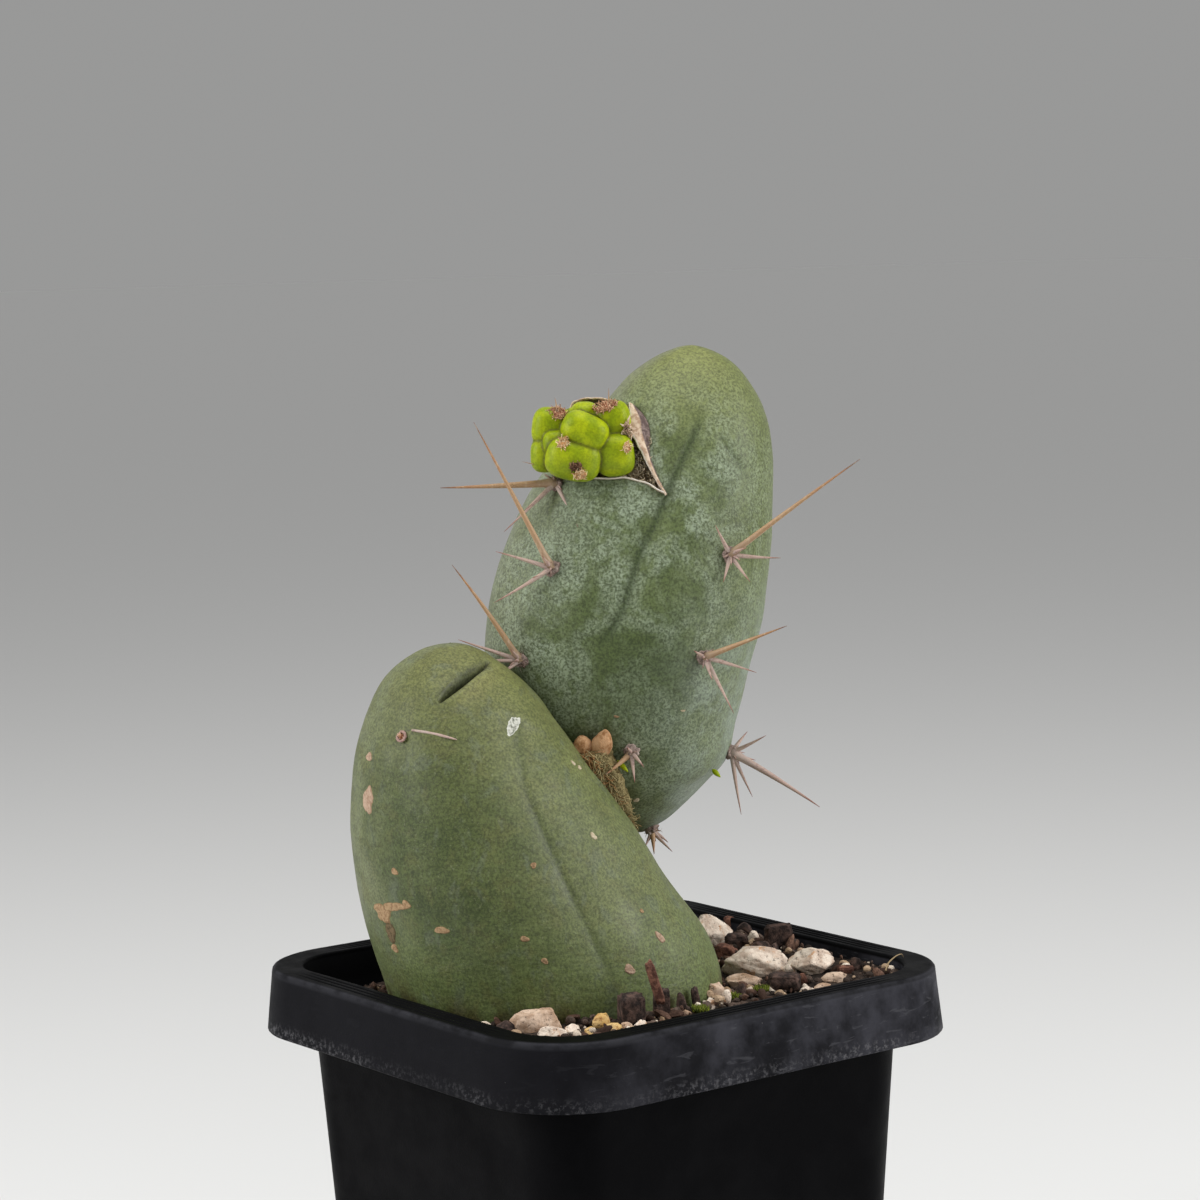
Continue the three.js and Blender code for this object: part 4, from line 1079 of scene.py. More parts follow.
def make_torn_skin():
    """The flap beside the bud, the thin rim below it and the sheet behind it."""
    steps, rise_steps = 120, 6
    share = np.linspace(0, 1, steps)
    piece = Piece()

    narrow = 1 - smoothstep(share, 0.55, 1)
    root = path_on(UPPER, FLAP_ROOT, steps) - 0.5 * normals_on(UPPER, FLAP_ROOT, steps)
    fold = path_on(UPPER, FLAP_FOLD, steps)
    fold_normals = normals_on(UPPER, FLAP_FOLD, steps)
    fold += fold_normals * (0.3 + 0.7 * narrow)[:, None]
    edge = path_on(UPPER, FLAP_EDGE, steps)
    edge += normals_on(UPPER, FLAP_EDGE, steps) * (0.35 + 1.05 * narrow)[:, None]
    ragged = (0.16 * noise(edge, 0.9, 71) + 0.1 * noise(edge, 0.35, 72)) * (0.3 + 0.7 * narrow)
    edge += unit(edge - fold) * ragged[:, None]
    bulge = 0.35 * np.sin(np.pi * np.clip(share / 0.6, 0, 1))[:, None]
    rows = []
    for part in np.linspace(0, 1, rise_steps):
        swell = bulge * math.sin(math.pi * part) * fold_normals
        rows.append(root + (fold - root) * part + swell)
    for part in np.linspace(0, 1, rise_steps)[1:]:
        rows.append(fold + (edge - fold) * part + 0.12 * math.sin(math.pi * part) * fold_normals)
    across = [*np.linspace(0, 0.5, rise_steps), *np.linspace(0.5, 1, rise_steps)[1:]]
    add_sheet(piece, rows, across, 0.26)

    low = path_on(UPPER, LOW_EDGE, steps)
    out = normals_on(UPPER, LOW_EDGE, steps)
    rise = 0.45 + 0.2 * noise(low, 1.5, 74) + 0.1 * noise(low, 0.4, 75)
    rise *= 1 - 0.7 * smoothstep(share, 0.6, 1)
    rows = [low - 0.5 * out, low + out * rise[:, None] * 0.6, low + out * rise[:, None]]
    add_sheet(piece, rows, [0.8, 0.95, 1], 0.3)

    root = path_on(UPPER, SHEET_ROOT, steps) - 0.5 * normals_on(UPPER, SHEET_ROOT, steps)
    edge = through(np.array(SHEET_EDGE), share)
    edge[:, 2] += 0.1 * noise(edge, 0.8, 76)
    rows = [root + (edge - root) * part + np.array([-0.5, 0.8, 0]) * math.sin(math.pi * part)
            for part in np.linspace(0, 1, 8)]
    add_sheet(piece, rows, [*np.linspace(0.05, 0.4, 7), 0.8], 0.28)
    add_curl(piece)
    settle(piece.make("torn_skin_edge", [torn_skin_finish()]), "dry_skin", "torn_skin")


def add_curl(piece):
    """The frayed curl halfway down the flap."""
    random = np.random.default_rng(91)
    for _ in range(CURL_HAIRS):
        root = np.array(CURL) + random.normal(size=3) * (0.34, 0.25, 0.75)
        add_hair(piece, root, (-0.3, -0.6, -0.6), 1, random, 0, 0.17, 0.62 + 0.16 * random.random())


def make_hole_fibres():
    """Dry fibres on the floor of the hole, between the bud and the torn skin."""
    random = np.random.default_rng(92)
    piece = Piece()
    along = 0.668 + 0.075 * random.random(HOLE_FIBRES)
    around = 246 + 26 * random.random(HOLE_FIBRES)
    bare = hole_share(UPPER.smooth_point(along, around), along, around) > 0.3
    along, around = along[bare], around[bare]
    roots, normals = UPPER.skin(along, around), UPPER.normal(along, around)
    for root, normal in zip(roots, normals):
        add_hair(piece, root + normal * 0.5 * random.random(), normal, 1, random, 0, 0.09)
    settle(piece.make("hole_fibres", [tuft_finish("olive")]), "dry_skin")


# Joint


def make_joint():
    """Ear-like corky lumps and a strip of tangled fibres between the two stems."""
    random = np.random.default_rng(77)
    piece = Piece()
    points, faces = BALLS[4]
    for i, (middle, half, turn) in enumerate(CORK_EARS):
        pointed = points * (1 - 0.35 * np.clip(points[:, 2], 0, 1)[:, None] * (1, 0, 0))
        swell = 1 + 0.07 * noise(points, 0.8, 90 + i) + 0.05 * noise(points, 0.3, 110 + i)
        ear = pointed * swell[:, None] * half @ rotation("Y", turn).T
        piece.add(np.array(middle) + ear, faces, 0, 0.5 + 0.5 * noise(points, 0.5, 130 + i))
    table = through(np.array(CORK_STRIP), np.linspace(0, 1, 70))
    strip, strip_faces, _ = tube(table[:, :3], table[:, 3], 40)
    centres = np.repeat(table[:, :3], 40, axis=0)
    strip += (strip - centres) * (0.16 * noise(strip, 1.1, 95) + 0.1 * noise(strip, 0.4, 96))[:, None]
    piece.add(strip, strip_faces, 2, np.clip((centres[:, 0] - strip[:, 0]) / 2.2, 0, 1))
    for _ in range(JOINT_FIBRES):
        step = random.integers(4, 67)
        middle, radius = table[step, :3], table[step, 3]
        turn = 205 + 100 * random.random()
        angle = math.radians(turn)
        is_rusty = turn < 285 and random.random() < 0.5
        root = middle + radius * 1.02 * np.array([math.cos(angle), math.sin(angle), 0])
        way = unit(np.array([0.7 * random.normal() + 0.2, -0.04, -0.4 + 0.6 * random.normal()]))
        length = 0.7 + 1.3 * random.random()
        bend = 0.3 * random.normal(size=3) * (1, 0.2, 1)
        path = [root, root + way * length * 0.35 + bend, root + way * length * 0.7 + bend,
                root + way * length]
        strand, faces_of_strand, _ = tube(path, [0.07, 0.065, 0.055, 0.03], 4)
        piece.add(strand, faces_of_strand, 3 if is_rusty else 1, random.random())
    finishes = [cork_finish(), fibre_finish("olive"), strip_finish(), fibre_finish("rust")]
    settle(piece.make("joint_cork", finishes), "cork", "corky_joint")


# Soil, stones and bark


def soil_height(right, away):
    """The soil's level at a place in the plant's frame, without its clods."""
    back = right * math.sin(VIEW_TURN) + away * math.cos(VIEW_TURN)
    drop = SOIL_LEFT_DROP * np.maximum(0, -right - 10)
    return SOIL_LEVEL + SOIL_BACK_RISE * smoothstep(back, 10, 34) - drop


def rounded_square(half, radius, corner_steps, straight_steps):
    """Points of a rounded square, and how far from a corner each lies, from 0 to 1."""
    points, plain = [], []
    flat_half = half - radius
    for corner in range(4):
        start = corner * math.pi / 2
        turn = np.array([[math.cos(start), math.sin(start)], [-math.sin(start), math.cos(start)]])
        for step in range(corner_steps + 1):
            angle = step / corner_steps * math.pi / 2
            spot = flat_half + radius * np.array([math.cos(angle), math.sin(angle)])
            points.append(spot @ turn)
            plain.append(0.0)
        for step in range(1, straight_steps):
            share = step / straight_steps
            spot = np.array([flat_half * (1 - 2 * share), half])
            points.append(spot @ turn)
            plain.append(min(1.0, 5 * min(share, 1 - share)))
    return np.array(points), np.array(plain)


def seen_from_plant(points):
    """Pot frame in millimetres to the plant frame."""
    return np.asarray(points, float) @ TURN_TO_ROW


def make_soil():
    """The top of the soil: rings of points that shrink to the middle, and a short edge down."""
    half, radius = POT["opening_half"] - 0.15, 8.6
    rings, corner_steps, straight_steps = 70, 10, 24
    points = []
    for ring in range(rings):
        share = 1 - ring / rings
        flat, _ = rounded_square(half * share, radius * share, corner_steps, straight_steps)
        points.append(np.column_stack([flat, np.zeros(len(flat))]))
    count = len(points[0])
    points = np.vstack(points)
    seen = seen_from_plant(points)
    clods = 0.45 * noise(seen, 3.2, 31) + 0.3 * noise(seen, 1.3, 32) + 0.16 * noise(seen, 0.6, 33)
    seen[:, 2] = soil_height(seen[:, 0], seen[:, 1]) - 0.3 + clods
    skirt = seen[:count].copy()
    skirt[:, 2] = SOIL_EDGE_BOTTOM
    middle = seen[-count:].mean(axis=0)
    all_points = np.vstack([seen, skirt, middle])
    faces = ring_faces(rings, count, closed=False)
    base = rings * count
    for k in range(count):
        after = (k + 1) % count
        faces.append((base + k, base + after, after, k))
        faces.append(((rings - 1) * count + k, (rings - 1) * count + after, base + count))
    made = new_object("soil_top", all_points, faces, [soil_finish()])
    settle(made, "soil", "soil")


def fitted(shape, size):
    """The shape in the middle of its box, and its box made this size."""
    low, high = shape.min(axis=0), shape.max(axis=0)
    return (shape - (high + low) / 2) / (high - low) * size


def angular(size, seed, detail, cuts=11, grain=0.055):
    """A broken stone: a ball cut by random planes, with worn edges and a pitted skin."""
    random = np.random.default_rng(seed)
    points, faces = BALLS[detail]
    normals = unit(random.normal(size=(cuts, 3)))
    reaches = 0.66 + 0.28 * random.random(cuts)
    toward = np.maximum(points @ normals.T, 0.02)
    reach = np.minimum(reaches / toward, 1.25)
    radius = -np.log(np.exp(-STONE_SHARPNESS * reach).sum(axis=1)) / STONE_SHARPNESS
    radius = np.clip(radius, 0.5, 1.05)
    pits = grain * rough(points, 0.5, seed + 3) + 0.5 * grain * noise(points, 0.12, seed + 7)
    radius = radius * (1 + pits)
    return fitted(points * radius[:, None], size), faces


def make_stones():
    """The stones that stand for CAD nodes."""
    finishes = {tone: stone_finish(tone) for tone in ("cream", "tan", "ochre")}
    for i, (name, ((right, away), rise, size, turn, tone)) in enumerate(STONES.items()):
        points, faces = angular(size, 100 + i, 5)
        height = soil_height(right, away) + rise
        placed = points @ rotation("Z", turn).T + (right, away, height)
        made = new_object(name + "_dressed", placed, faces, [finishes[tone]])
        settle(made, "stone_" + tone, name)


def make_pebbles():
    """The smaller stones and bits of bark that can be told apart in the front of the pot."""
    finishes = {tone: (stone_finish(tone), "stone_" + tone) for tone in ("cream", "tan", "ochre")}
    finishes.update({tone: (bark_finish(tone), "bark") for tone in ("brown", "red")})
    for tone, (finish, slot) in finishes.items():
        piece = Piece()
        for i, (right, away, width, height, pebble_tone) in enumerate(PEBBLES):
            if pebble_tone != tone:
                continue
            tall = 1.35 * height + 0.4
            points, faces = angular((width, 0.85 * width, tall), 600 + i, 4)
            middle = float(soil_height(right, away)) + height - tall / 2
            turned = points @ rotation("Y", 9 * math.sin(7 * i)).T
            piece.add(turned + (right, away, middle), faces)
        settle(piece.make("pebbles_" + tone, [finish]), slot)


def bark_shape(size, seed, detail):
    """A splinter: a boxy ball with furrows along its longest side."""
    points, faces = BALLS[detail]
    boxy = np.sign(points) * np.abs(points) ** BARK_BOXINESS
    long_way = int(np.argmax(size))
    stretched = points.copy()
    stretched[:, long_way] *= 0.22
    furrows = 0.13 * rough(stretched, 0.34, seed) + 0.05 * noise(points, 0.2, seed + 5)
    return fitted(boxy * (1 + furrows)[:, None], size), faces


def make_bark():
    """The bark pieces that stand for CAD nodes."""
    plain, red = bark_finish("brown"), bark_finish("red")
    for i, (name, (at, size, lean, turn)) in enumerate(BARK.items()):
        points, faces = bark_shape(size, 200 + i, 4)
        placed = points @ rotation("X", lean).T @ rotation("Z", turn).T + at
        finish = red if name in RED_BARK else plain
        made = new_object(name + "_dressed", placed, faces, [finish])
        settle(made, "bark", name)


def scatter(count, seed, margin=1.2):
    """Random places on the soil in the plant frame, clear of the stem."""
    random = np.random.default_rng(seed)
    reach = POT["opening_half"] - margin
    left, right, depth = STEM_AT_SOIL
    places = []
    while len(places) < count:
        spot = seen_from_plant([[*(random.random(2) * 2 - 1) * reach, 0]])[0]
        across = (spot[0] - (left + right) / 2) / ((right - left) / 2)
        if across**2 + ((spot[1] + 1) / depth) ** 2 > 0.97 and not by_a_stone(spot):
            places.append(spot[:2])
    return np.array(places)


def by_a_stone(spot):
    """Whether a place lies under one of the named stones or just in front of it."""
    for (right, away), _, (width, depth, _), _, _ in STONES.values():
        beside = abs(spot[0] - right) < width / 2 + 0.3
        if beside and away - depth / 2 - 1.8 < spot[1] < away + depth / 2 + 0.3:
            return True
    return False


def make_crumbs(name, count, seed, smallest, largest, finish, slot, sink=0.15, shape=(1, 0.85, 0.75)):
    """Loose grains of one colour strewn over the soil."""
    random = np.random.default_rng(seed)
    stock = [angular((1, 1, 1), seed + k, 2, 9, 0.06) for k in range(6)]
    piece = Piece()
    for place in scatter(count, seed + 50):
        points, faces = stock[int(random.integers(len(stock)))]
        size = smallest + (largest - smallest) * random.random() ** 2.2
        spin = Matrix.Rotation(6.28 * random.random(), 3, Vector(random.normal(size=3)))
        turned = points * shape @ np.array(spin).T
        height = soil_height(place[0], place[1]) + size * sink + 0.25 * random.normal()
        piece.add(turned * size + (place[0], place[1], height), faces, 0, random.random())
    settle(piece.make(name, [finish], smooth=False), slot)


def make_litter():
    """Soil crumbs, bark crumbs and grit in four colours."""
    make_crumbs("soil_crumbs", 900, 410, 0.5, 1.8, crumb_finish("dark"), "soil", 0.1)
    make_crumbs("bark_crumbs", 260, 420, 0.8, 2.7, crumb_finish("bark"), "bark", 0.15, (1.2, 0.6, 0.5))
    make_crumbs("tan_grit", 170, 430, 0.5, 1.8, crumb_finish("tan"), "stone_tan", 0.25)
    make_crumbs("cream_grit", 100, 440, 0.5, 1.7, crumb_finish("cream"), "stone_cream", 0.3)


def make_moss():
    """Small cushions of upright blades."""
    random = np.random.default_rng(19)
    piece = Piece()
    for (right, away), radius in MOSS:
        centre = np.array([right, away, float(soil_height(right, away)) + 0.2])
        for _ in range(MOSS_BLADES):
            step = radius * random.random() ** 0.5
            angle = 2 * math.pi * random.random()
            root = centre + (step * math.cos(angle), step * math.sin(angle), 0.2 * random.random())
            way = unit(np.array([0.5 * random.normal(), 0.5 * random.normal(), 1]))
            length = 0.5 + 0.6 * random.random()
            path = [root, root + way * length * 0.5, root + way * length]
            points, faces, _ = tube(path, [0.1, 0.12, 0.02], 4)
            piece.add(points, faces, 0, random.random())
    settle(piece.make("moss", [moss_finish()]), "soil")


def make_rim_fibre():
    path = through(np.array(RIM_FIBRE, float), np.linspace(0, 1, 40))
    points, faces, _ = tube(path, np.linspace(0.13, 0.05, 40), 6)
    piece = Piece()
    piece.add(points, faces)
    settle(piece.make("rim_fibre", [fibre_finish("pale")]), "cork")


# Pot


def body_half(z):
    """Half the pot's side at this height."""
    return POT["body_half_at_rim"] - POT["taper"] * (POT["height"] - z)


def pot_profile():
    """Half side, corner radius and height of each ring of the pot, from the bottom's middle round."""
    top, floor = POT["height"], POT["floor"]
    ledge, skirt_end = top - POT["collar_depth"], top - POT["skirt_height"]
    top_half, skirt_half, opening = POT["top_half"], POT["skirt_half"], POT["opening_half"]
    wall = POT["body_wall"]
    rows = [
        (2, 1.5, 0.9), (20, 5, 0.9), (24.5, 5.4, 0.9), (25.3, 5.5, 0.1), (body_half(0) - 0.7, 6, 0),
        (body_half(0) - 0.15, 6.3, 0.25), (body_half(0.9), 6.5, 0.9),
    ]
    rows += [(body_half(z), 6.5 + 2.1 * z / ledge, z) for z in np.linspace(8, ledge - 0.5, 9)]
    rows += [
        (body_half(ledge), 8.6, ledge),
        (opening - 0.2 + POT["collar_wall"], 9.6, ledge + 0.6),
        (opening + POT["collar_wall"], 9.9, top - POT["ring_wall"] - 0.2),
        (opening + POT["collar_wall"] + 0.3, 10.1, top - POT["ring_wall"]),
        (top_half - POT["skirt_wall"] - 0.3, 12.6, top - POT["ring_wall"]),
        (top_half - POT["skirt_wall"], 12.8, top - POT["ring_wall"] - 0.3),
        (skirt_half - POT["skirt_wall"], 13.8, skirt_end + 0.1),
        (skirt_half - POT["skirt_wall"] + 0.12, 13.9, skirt_end),
        (skirt_half - 0.12, 14.6, skirt_end),
        (skirt_half, 14.7, skirt_end + 0.15),
    ]
    rows += [(skirt_half - 0.95 * share, 14.7 - 0.9 * share, skirt_end + 0.3 + 8.5 * share)
             for share in np.linspace(0.05, 0.95, 8)]
    rows += [
        (top_half + 0.05, 13.8, top - 0.62),
        (top_half - 0.02, 13.74, top - 0.34),
        (top_half - 0.2, 13.6, top - 0.12),
        (top_half - 0.5, 13.3, top - 0.01),
        (top_half - 0.75, 13.05, top),
    ]
    grooves = np.linspace(top_half - 1, opening + 0.75, 34)
    rows += [(half, 13.3 - (top_half - 0.5 - half) * 1.08, top) for half in grooves]
    rows += [
        (opening + 0.45, 9.2, top),
        (opening + 0.3, 9.1, top - 0.02),
        (opening + 0.1, 8.9, top - 0.15),
        (opening, 8.8, top - 0.4),
        (opening - 0.1, 8.7, (top + ledge) / 2),
        (opening - 0.2, 8.6, ledge + 1),
        (body_half(ledge) - wall, 7.4, ledge - 0.6),
        (body_half(ledge / 2) - wall, 6.4, ledge / 2),
        (body_half(floor) - wall, 5.4, floor + 1),
        (body_half(floor) - wall - 0.9, 5, floor),
        (20, 4, floor), (2, 1.5, floor),
    ]
    return rows, (grooves.min(), grooves.max())


def make_pot():
    """The pot as rings of a rounded square, slightly warped towards the rim."""
    corner_steps, straight_steps = 12, 60
    rows, (groove_from, groove_to) = pot_profile()
    points, rim_highlight = [], []
    for half, radius, z in rows:
        flat, straight = rounded_square(half, radius, corner_steps, straight_steps)
        height = np.full(len(flat), float(z))
        if z == POT["height"] and groove_from < half < groove_to:
            place = POT["grooves"] * (half - groove_from) / (groove_to - groove_from) % 1
            height -= POT["groove_depth"] * straight * bell(place - 0.5, 0.17)
        points.append(np.column_stack([flat, height]))
        # Painted highlight along the rim's outer top edge.
        above_skirt = z > POT["height"] - 0.7
        rim_highlight.append(bell(half - POT["top_half"] + 0.15, 0.3) * above_skirt)
    count = len(points[0])
    points = np.vstack(points)
    # Painted light: the pot's right face is painted brighter.
    to_right = smoothstep(seen_from_plant(points)[:, 0], -12, 22)
    values = {"rim_highlight": np.repeat(rim_highlight, count), "to_right": to_right}
    warp = 0.16 * noise(points, 30, 51) + 0.05 * noise(points, 9, 52)
    above = smoothstep(points[:, 2], 40, 75)
    points[:, :2] += unit(points[:, :2]) * (warp * above)[:, None]
    points[:, 2] += 0.12 * noise(points * (1, 1, 0), 22, 53) * above
    faces = ring_faces(len(rows), count)
    made = new_object("pot_shell", points, faces, [plastic_finish()], values, in_plant=False)
    cut_drains(made)
    settle(made, "pot_plastic", "pot")


def cut_drains(pot):
    """Cuts the four drain holes through the bottom."""
    drains = Piece()
    for x, y in itertools.product((-1, 1), repeat=2):
        centre = np.array([x * POT["drain_offset"], y * POT["drain_offset"], 0.0])
        path = [centre + (0, 0, -3), centre + (0, 0, 6)]
        points, faces, _ = tube(path, [POT["drain_radius"]] * 2, 32)
        drains.add(points, faces)
    cutter = drains.make("drain_cutter", [], in_plant=False)
    boolean = pot.modifiers.new("drains", "BOOLEAN")
    boolean.object = cutter
    boolean.operation = "DIFFERENCE"
    boolean.solver = "EXACT"
    evaluated = pot.evaluated_get(bpy.context.evaluated_depsgraph_get())
    cut = bpy.data.meshes.new_from_object(evaluated)
    pot.modifiers.clear()
    pot.data = cut
    bpy.data.objects.remove(cutter)


# Finishes


class Finish:
    """A material under construction, and its colour so far. Noise sizes are in millimetres."""

    def __init__(self, name, roughness, subsurface=0.0, specular=0.5):
        self.material = bpy.data.materials.new(name)
        self.material.use_nodes = True
        self.tree = self.material.node_tree
        self.shader = self.tree.nodes["Principled BSDF"]
        self.shader.inputs["Roughness"].default_value = roughness
        self.shader.inputs["Specular IOR Level"].default_value = specular
        self.shader.inputs["Subsurface Weight"].default_value = subsurface
        self.shader.inputs["Subsurface Radius"].default_value = (1, 1.2, 0.4)
        self.shader.inputs["Subsurface Scale"].default_value = 0.0015
        coordinates = self.tree.nodes.new("ShaderNodeTexCoord")
        self.place = coordinates.outputs["Object"]
        self.colour = None

    def plug(self, node, key, value):
        """Sets an input to a number, or links it where the value is another node's output."""
        if hasattr(value, "is_linked"):
            self.tree.links.new(value, node.inputs[key])
        else:
            node.inputs[key].default_value = value

    def noise(self, size, detail=2.0, roughness=0.5, stretch=(1, 1, 1), distortion=0.0):
        mapping = self.tree.nodes.new("ShaderNodeMapping")
        mapping.inputs["Scale"].default_value = [1 / (size * MM * s) for s in stretch]
        self.plug(mapping, "Vector", self.place)
        node = self.tree.nodes.new("ShaderNodeTexNoise")
        self.plug(node, "Vector", mapping.outputs[0])
        node.inputs["Scale"].default_value = 1
        node.inputs["Detail"].default_value = detail
        node.inputs["Roughness"].default_value = roughness
        node.inputs["Distortion"].default_value = distortion
        return node.outputs["Fac"]

    def grain(self, size, depth, stretch=(1, 1, 1)):
        """Fine darker grains in the colour."""
        self.tint((0, 0, 0), self.step(self.noise(size, 3, 0.7, stretch), 0.34, 0.64, depth, 0))

    def tint(self, over, share, amount=1):
        """Lays a colour over the present one, by a share and a fixed part of it."""
        self.colour = self.mix(self.colour, over, share if amount == 1 else self.times(share, amount))

    def less(self, share):
        """What is left of 1 after this share."""
        return self.sum(1.0, share, "SUBTRACT")

    def value(self, name):
        """A per-point value of the mesh."""
        node = self.tree.nodes.new("ShaderNodeAttribute")
        node.attribute_name = name
        return node.outputs["Fac"]

    def height(self):
        """Height above the floor in millimetres."""
        node = self.tree.nodes.new("ShaderNodeSeparateXYZ")
        self.plug(node, 0, self.place)
        return self.sum(node.outputs["Z"], 1000, "MULTIPLY")

    def sum(self, a, b, operation="ADD"):
        node = self.tree.nodes.new("ShaderNodeMath")
        node.operation = operation
        self.plug(node, 0, a)
        self.plug(node, 1, b)
        return node.outputs[0]

    def times(self, a, b):
        return self.sum(a, b, "MULTIPLY")

    def step(self, value, start, end, low=0.0, high=1.0):
        node = self.tree.nodes.new("ShaderNodeMapRange")
        node.interpolation_type = "SMOOTHSTEP"
        self.plug(node, "Value", value)
        for key, number in (("From Min", start), ("From Max", end), ("To Min", low), ("To Max", high)):
            node.inputs[key].default_value = number
        return node.outputs[0]

    def mix(self, base, over, share):
        node = self.tree.nodes.new("ShaderNodeMix")
        node.data_type = "RGBA"
        self.plug(node, "Factor", share)
        for socket, colour in zip((node.inputs[6], node.inputs[7]), (base, over)):
            if hasattr(colour, "is_linked"):
                self.tree.links.new(colour, socket)
            else:
                socket.default_value = (*colour, 1)
        return node.outputs[2]

    def bump(self, height, distance):
        """Bump of this depth in millimetres; a second call adds to the first."""
        node = self.tree.nodes.new("ShaderNodeBump")
        node.inputs["Strength"].default_value = 1
        node.inputs["Distance"].default_value = distance * MM
        self.plug(node, "Height", height)
        normal = self.shader.inputs["Normal"]
        if normal.is_linked:
            self.tree.links.new(normal.links[0].from_socket, node.inputs["Normal"])
        self.tree.links.new(node.outputs["Normal"], normal)

    def done(self, roughness=None):
        """Plugs in the colour, and a varied roughness if there is one."""
        if hasattr(self.colour, "is_linked"):
            self.tree.links.new(self.colour, self.shader.inputs["Base Color"])
        else:
            self.shader.inputs["Base Color"].default_value = (*self.colour, 1)
        if roughness is not None:
            self.tree.links.new(roughness, self.shader.inputs["Roughness"])
        return self.material


def lower_skin_finish():
    f = Finish("lower_skin", 0.5, subsurface=0.1, specular=0.32)
    mottle = f.noise(7, 3, 0.6)
    f.colour = f.mix((0.064, 0.089, 0.024), (0.108, 0.136, 0.043), f.step(mottle, 0.35, 0.68))
    dark_patches = f.step(f.noise(4.5, 4, 0.65, distortion=0.6), 0.54, 0.7)
    f.tint((0.045, 0.064, 0.02), dark_patches, 0.5)
    # Painted light: the right side, the top and the left edge are painted lighter where the lamps fall
    # on them.
    f.tint((0.185, 0.212, 0.08), f.times(f.value("right"), f.step(mottle, 0.2, 0.7, 0.55, 1)))
    f.tint((0.215, 0.225, 0.075), f.value("lit_crown"), 0.85)
    left_light_patches = f.step(f.noise(9, 3, 0.6), 0.3, 0.6, 0.3, 0.85)
    f.tint((0.21, 0.235, 0.12), f.times(f.value("left"), left_light_patches))
    # Painted light: the foot of the stem is painted lighter against the shade of the soil and the pot.
    f.tint((0.165, 0.215, 0.072), f.value("low"), 0.75)
    yellowed = f.step(f.noise(3.2, 3, 0.6, distortion=0.5), 0.5, 0.66)
    f.tint((0.14, 0.14, 0.045), yellowed, 0.35)
    bluish = f.step(f.noise(4, 4, 0.65, (0.8, 0.8, 1.4), 0.4), 0.54, 0.66)
    f.tint((0.15, 0.18, 0.12), bluish, 0.4)
    # Painted shade: the crease is darkened in colour, broken up by noise.
    crease_break = f.step(f.noise(2.5, 2, 0.5), 0.25, 0.6, 0.15, 0.4)
    f.tint((0.04, 0.06, 0.022), f.times(f.value("crease"), crease_break))
    # Painted shade on the soft slope down into the slit.
    f.tint((0.055, 0.065, 0.03), f.value("slit_slope_shade"), 0.95)
    # The slit's lower lip and the band below it: yellowish skin with a painted highlight.
    f.tint((0.29, 0.28, 0.1), f.value("lip"), 0.55)
    # Painted shadow: the slit's floor under the lip is near black.
    f.tint((0.018, 0.022, 0.01), f.value("slit"), 0.97)
    stain = f.times(f.value("stain"), f.step(f.noise(5, 3, 0.6), 0.42, 0.62))
    f.tint((0.075, 0.06, 0.018), stain, 0.85)
    f.grain(0.4, 0.5)
    f.grain(1.4, 0.15, (2.2, 2.2, 0.7))
    dust = f.step(f.noise(0.45, 3, 0.7), 0.58, 0.72)
    f.tint((0.24, 0.26, 0.15), dust, 0.4)
    f.bump(f.noise(1.5, 3, 0.6, (2.2, 2.2, 0.6)), 0.1)
    f.bump(f.noise(0.5, 3, 0.65), 0.045)
    return f.done(f.step(f.noise(6, 3, 0.6), 0.3, 0.7, 0.44, 0.6))


def upper_skin_finish():
    f = Finish("upper_skin", 0.5, subsurface=0.1, specular=0.32)
    green = f.mix((0.112, 0.15, 0.052), (0.158, 0.2, 0.078), f.step(f.noise(6, 3, 0.6), 0.35, 0.65))
    # Painted shade round the joint darkens the green.
    green = f.mix(green, (0.068, 0.102, 0.026), f.times(f.value("joint_shade"), 0.85))
    patches = f.step(f.noise(7.5, 5, 0.65, distortion=0.6), 0.36, 0.62)
    rubbed = f.step(f.noise(1.6, 3, 0.6, distortion=0.4), 0.54, 0.64)
    grain = f.step(f.noise(0.4, 3, 0.75), 0.34, 0.6, 0.25, 1)
    bloom = f.times(f.times(patches, f.less(f.times(rubbed, 0.7))), grain)
    # The bloom is held back on the painted-light top and in the painted shade by the joint.
    held_back = f.times(f.less(f.times(f.value("lit_crown"), 0.8)), f.less(f.times(f.value("joint_shade"), 0.6)))
    f.colour = f.mix(green, (0.36, 0.43, 0.31), f.times(f.times(bloom, held_back), 0.8))
    # Painted light: the top, the right edge and the left edge are painted lighter where the lamps fall
    # on them.
    f.tint((0.27, 0.29, 0.085), f.value("lit_crown"), 0.8)
    f.tint((0.16, 0.19, 0.066), f.value("right"), 0.6)
    f.tint((0.24, 0.255, 0.17), f.value("left"), 0.6)
    f.tint((0.19, 0.225, 0.12), f.value("low"), 0.6)
    low_patches = f.step(f.noise(5, 4, 0.6), 0.35, 0.6, 0.2, 0.8)
    f.tint((0.3, 0.36, 0.28), f.times(f.value("pale_low"), low_patches))
    # Painted shade along the valley and the fold.
    f.tint((0.05, 0.075, 0.024), f.value("crease"), 0.75)
    f.grain(0.4, 0.5)
    f.grain(1.3, 0.15)
    fuzz = f.mix((0.12, 0.08, 0.04), (0.5, 0.38, 0.22), f.step(f.noise(0.6, 4, 0.7), 0.4, 0.65))
    f.tint(fuzz, f.step(f.value("hole"), 0.15, 0.5))
    f.bump(f.noise(1.8, 3, 0.6, (1.8, 1.8, 0.7)), 0.06)
    f.bump(f.noise(0.5, 3, 0.65), 0.045)
    return f.done(f.step(bloom, 0, 1, 0.45, 0.68))


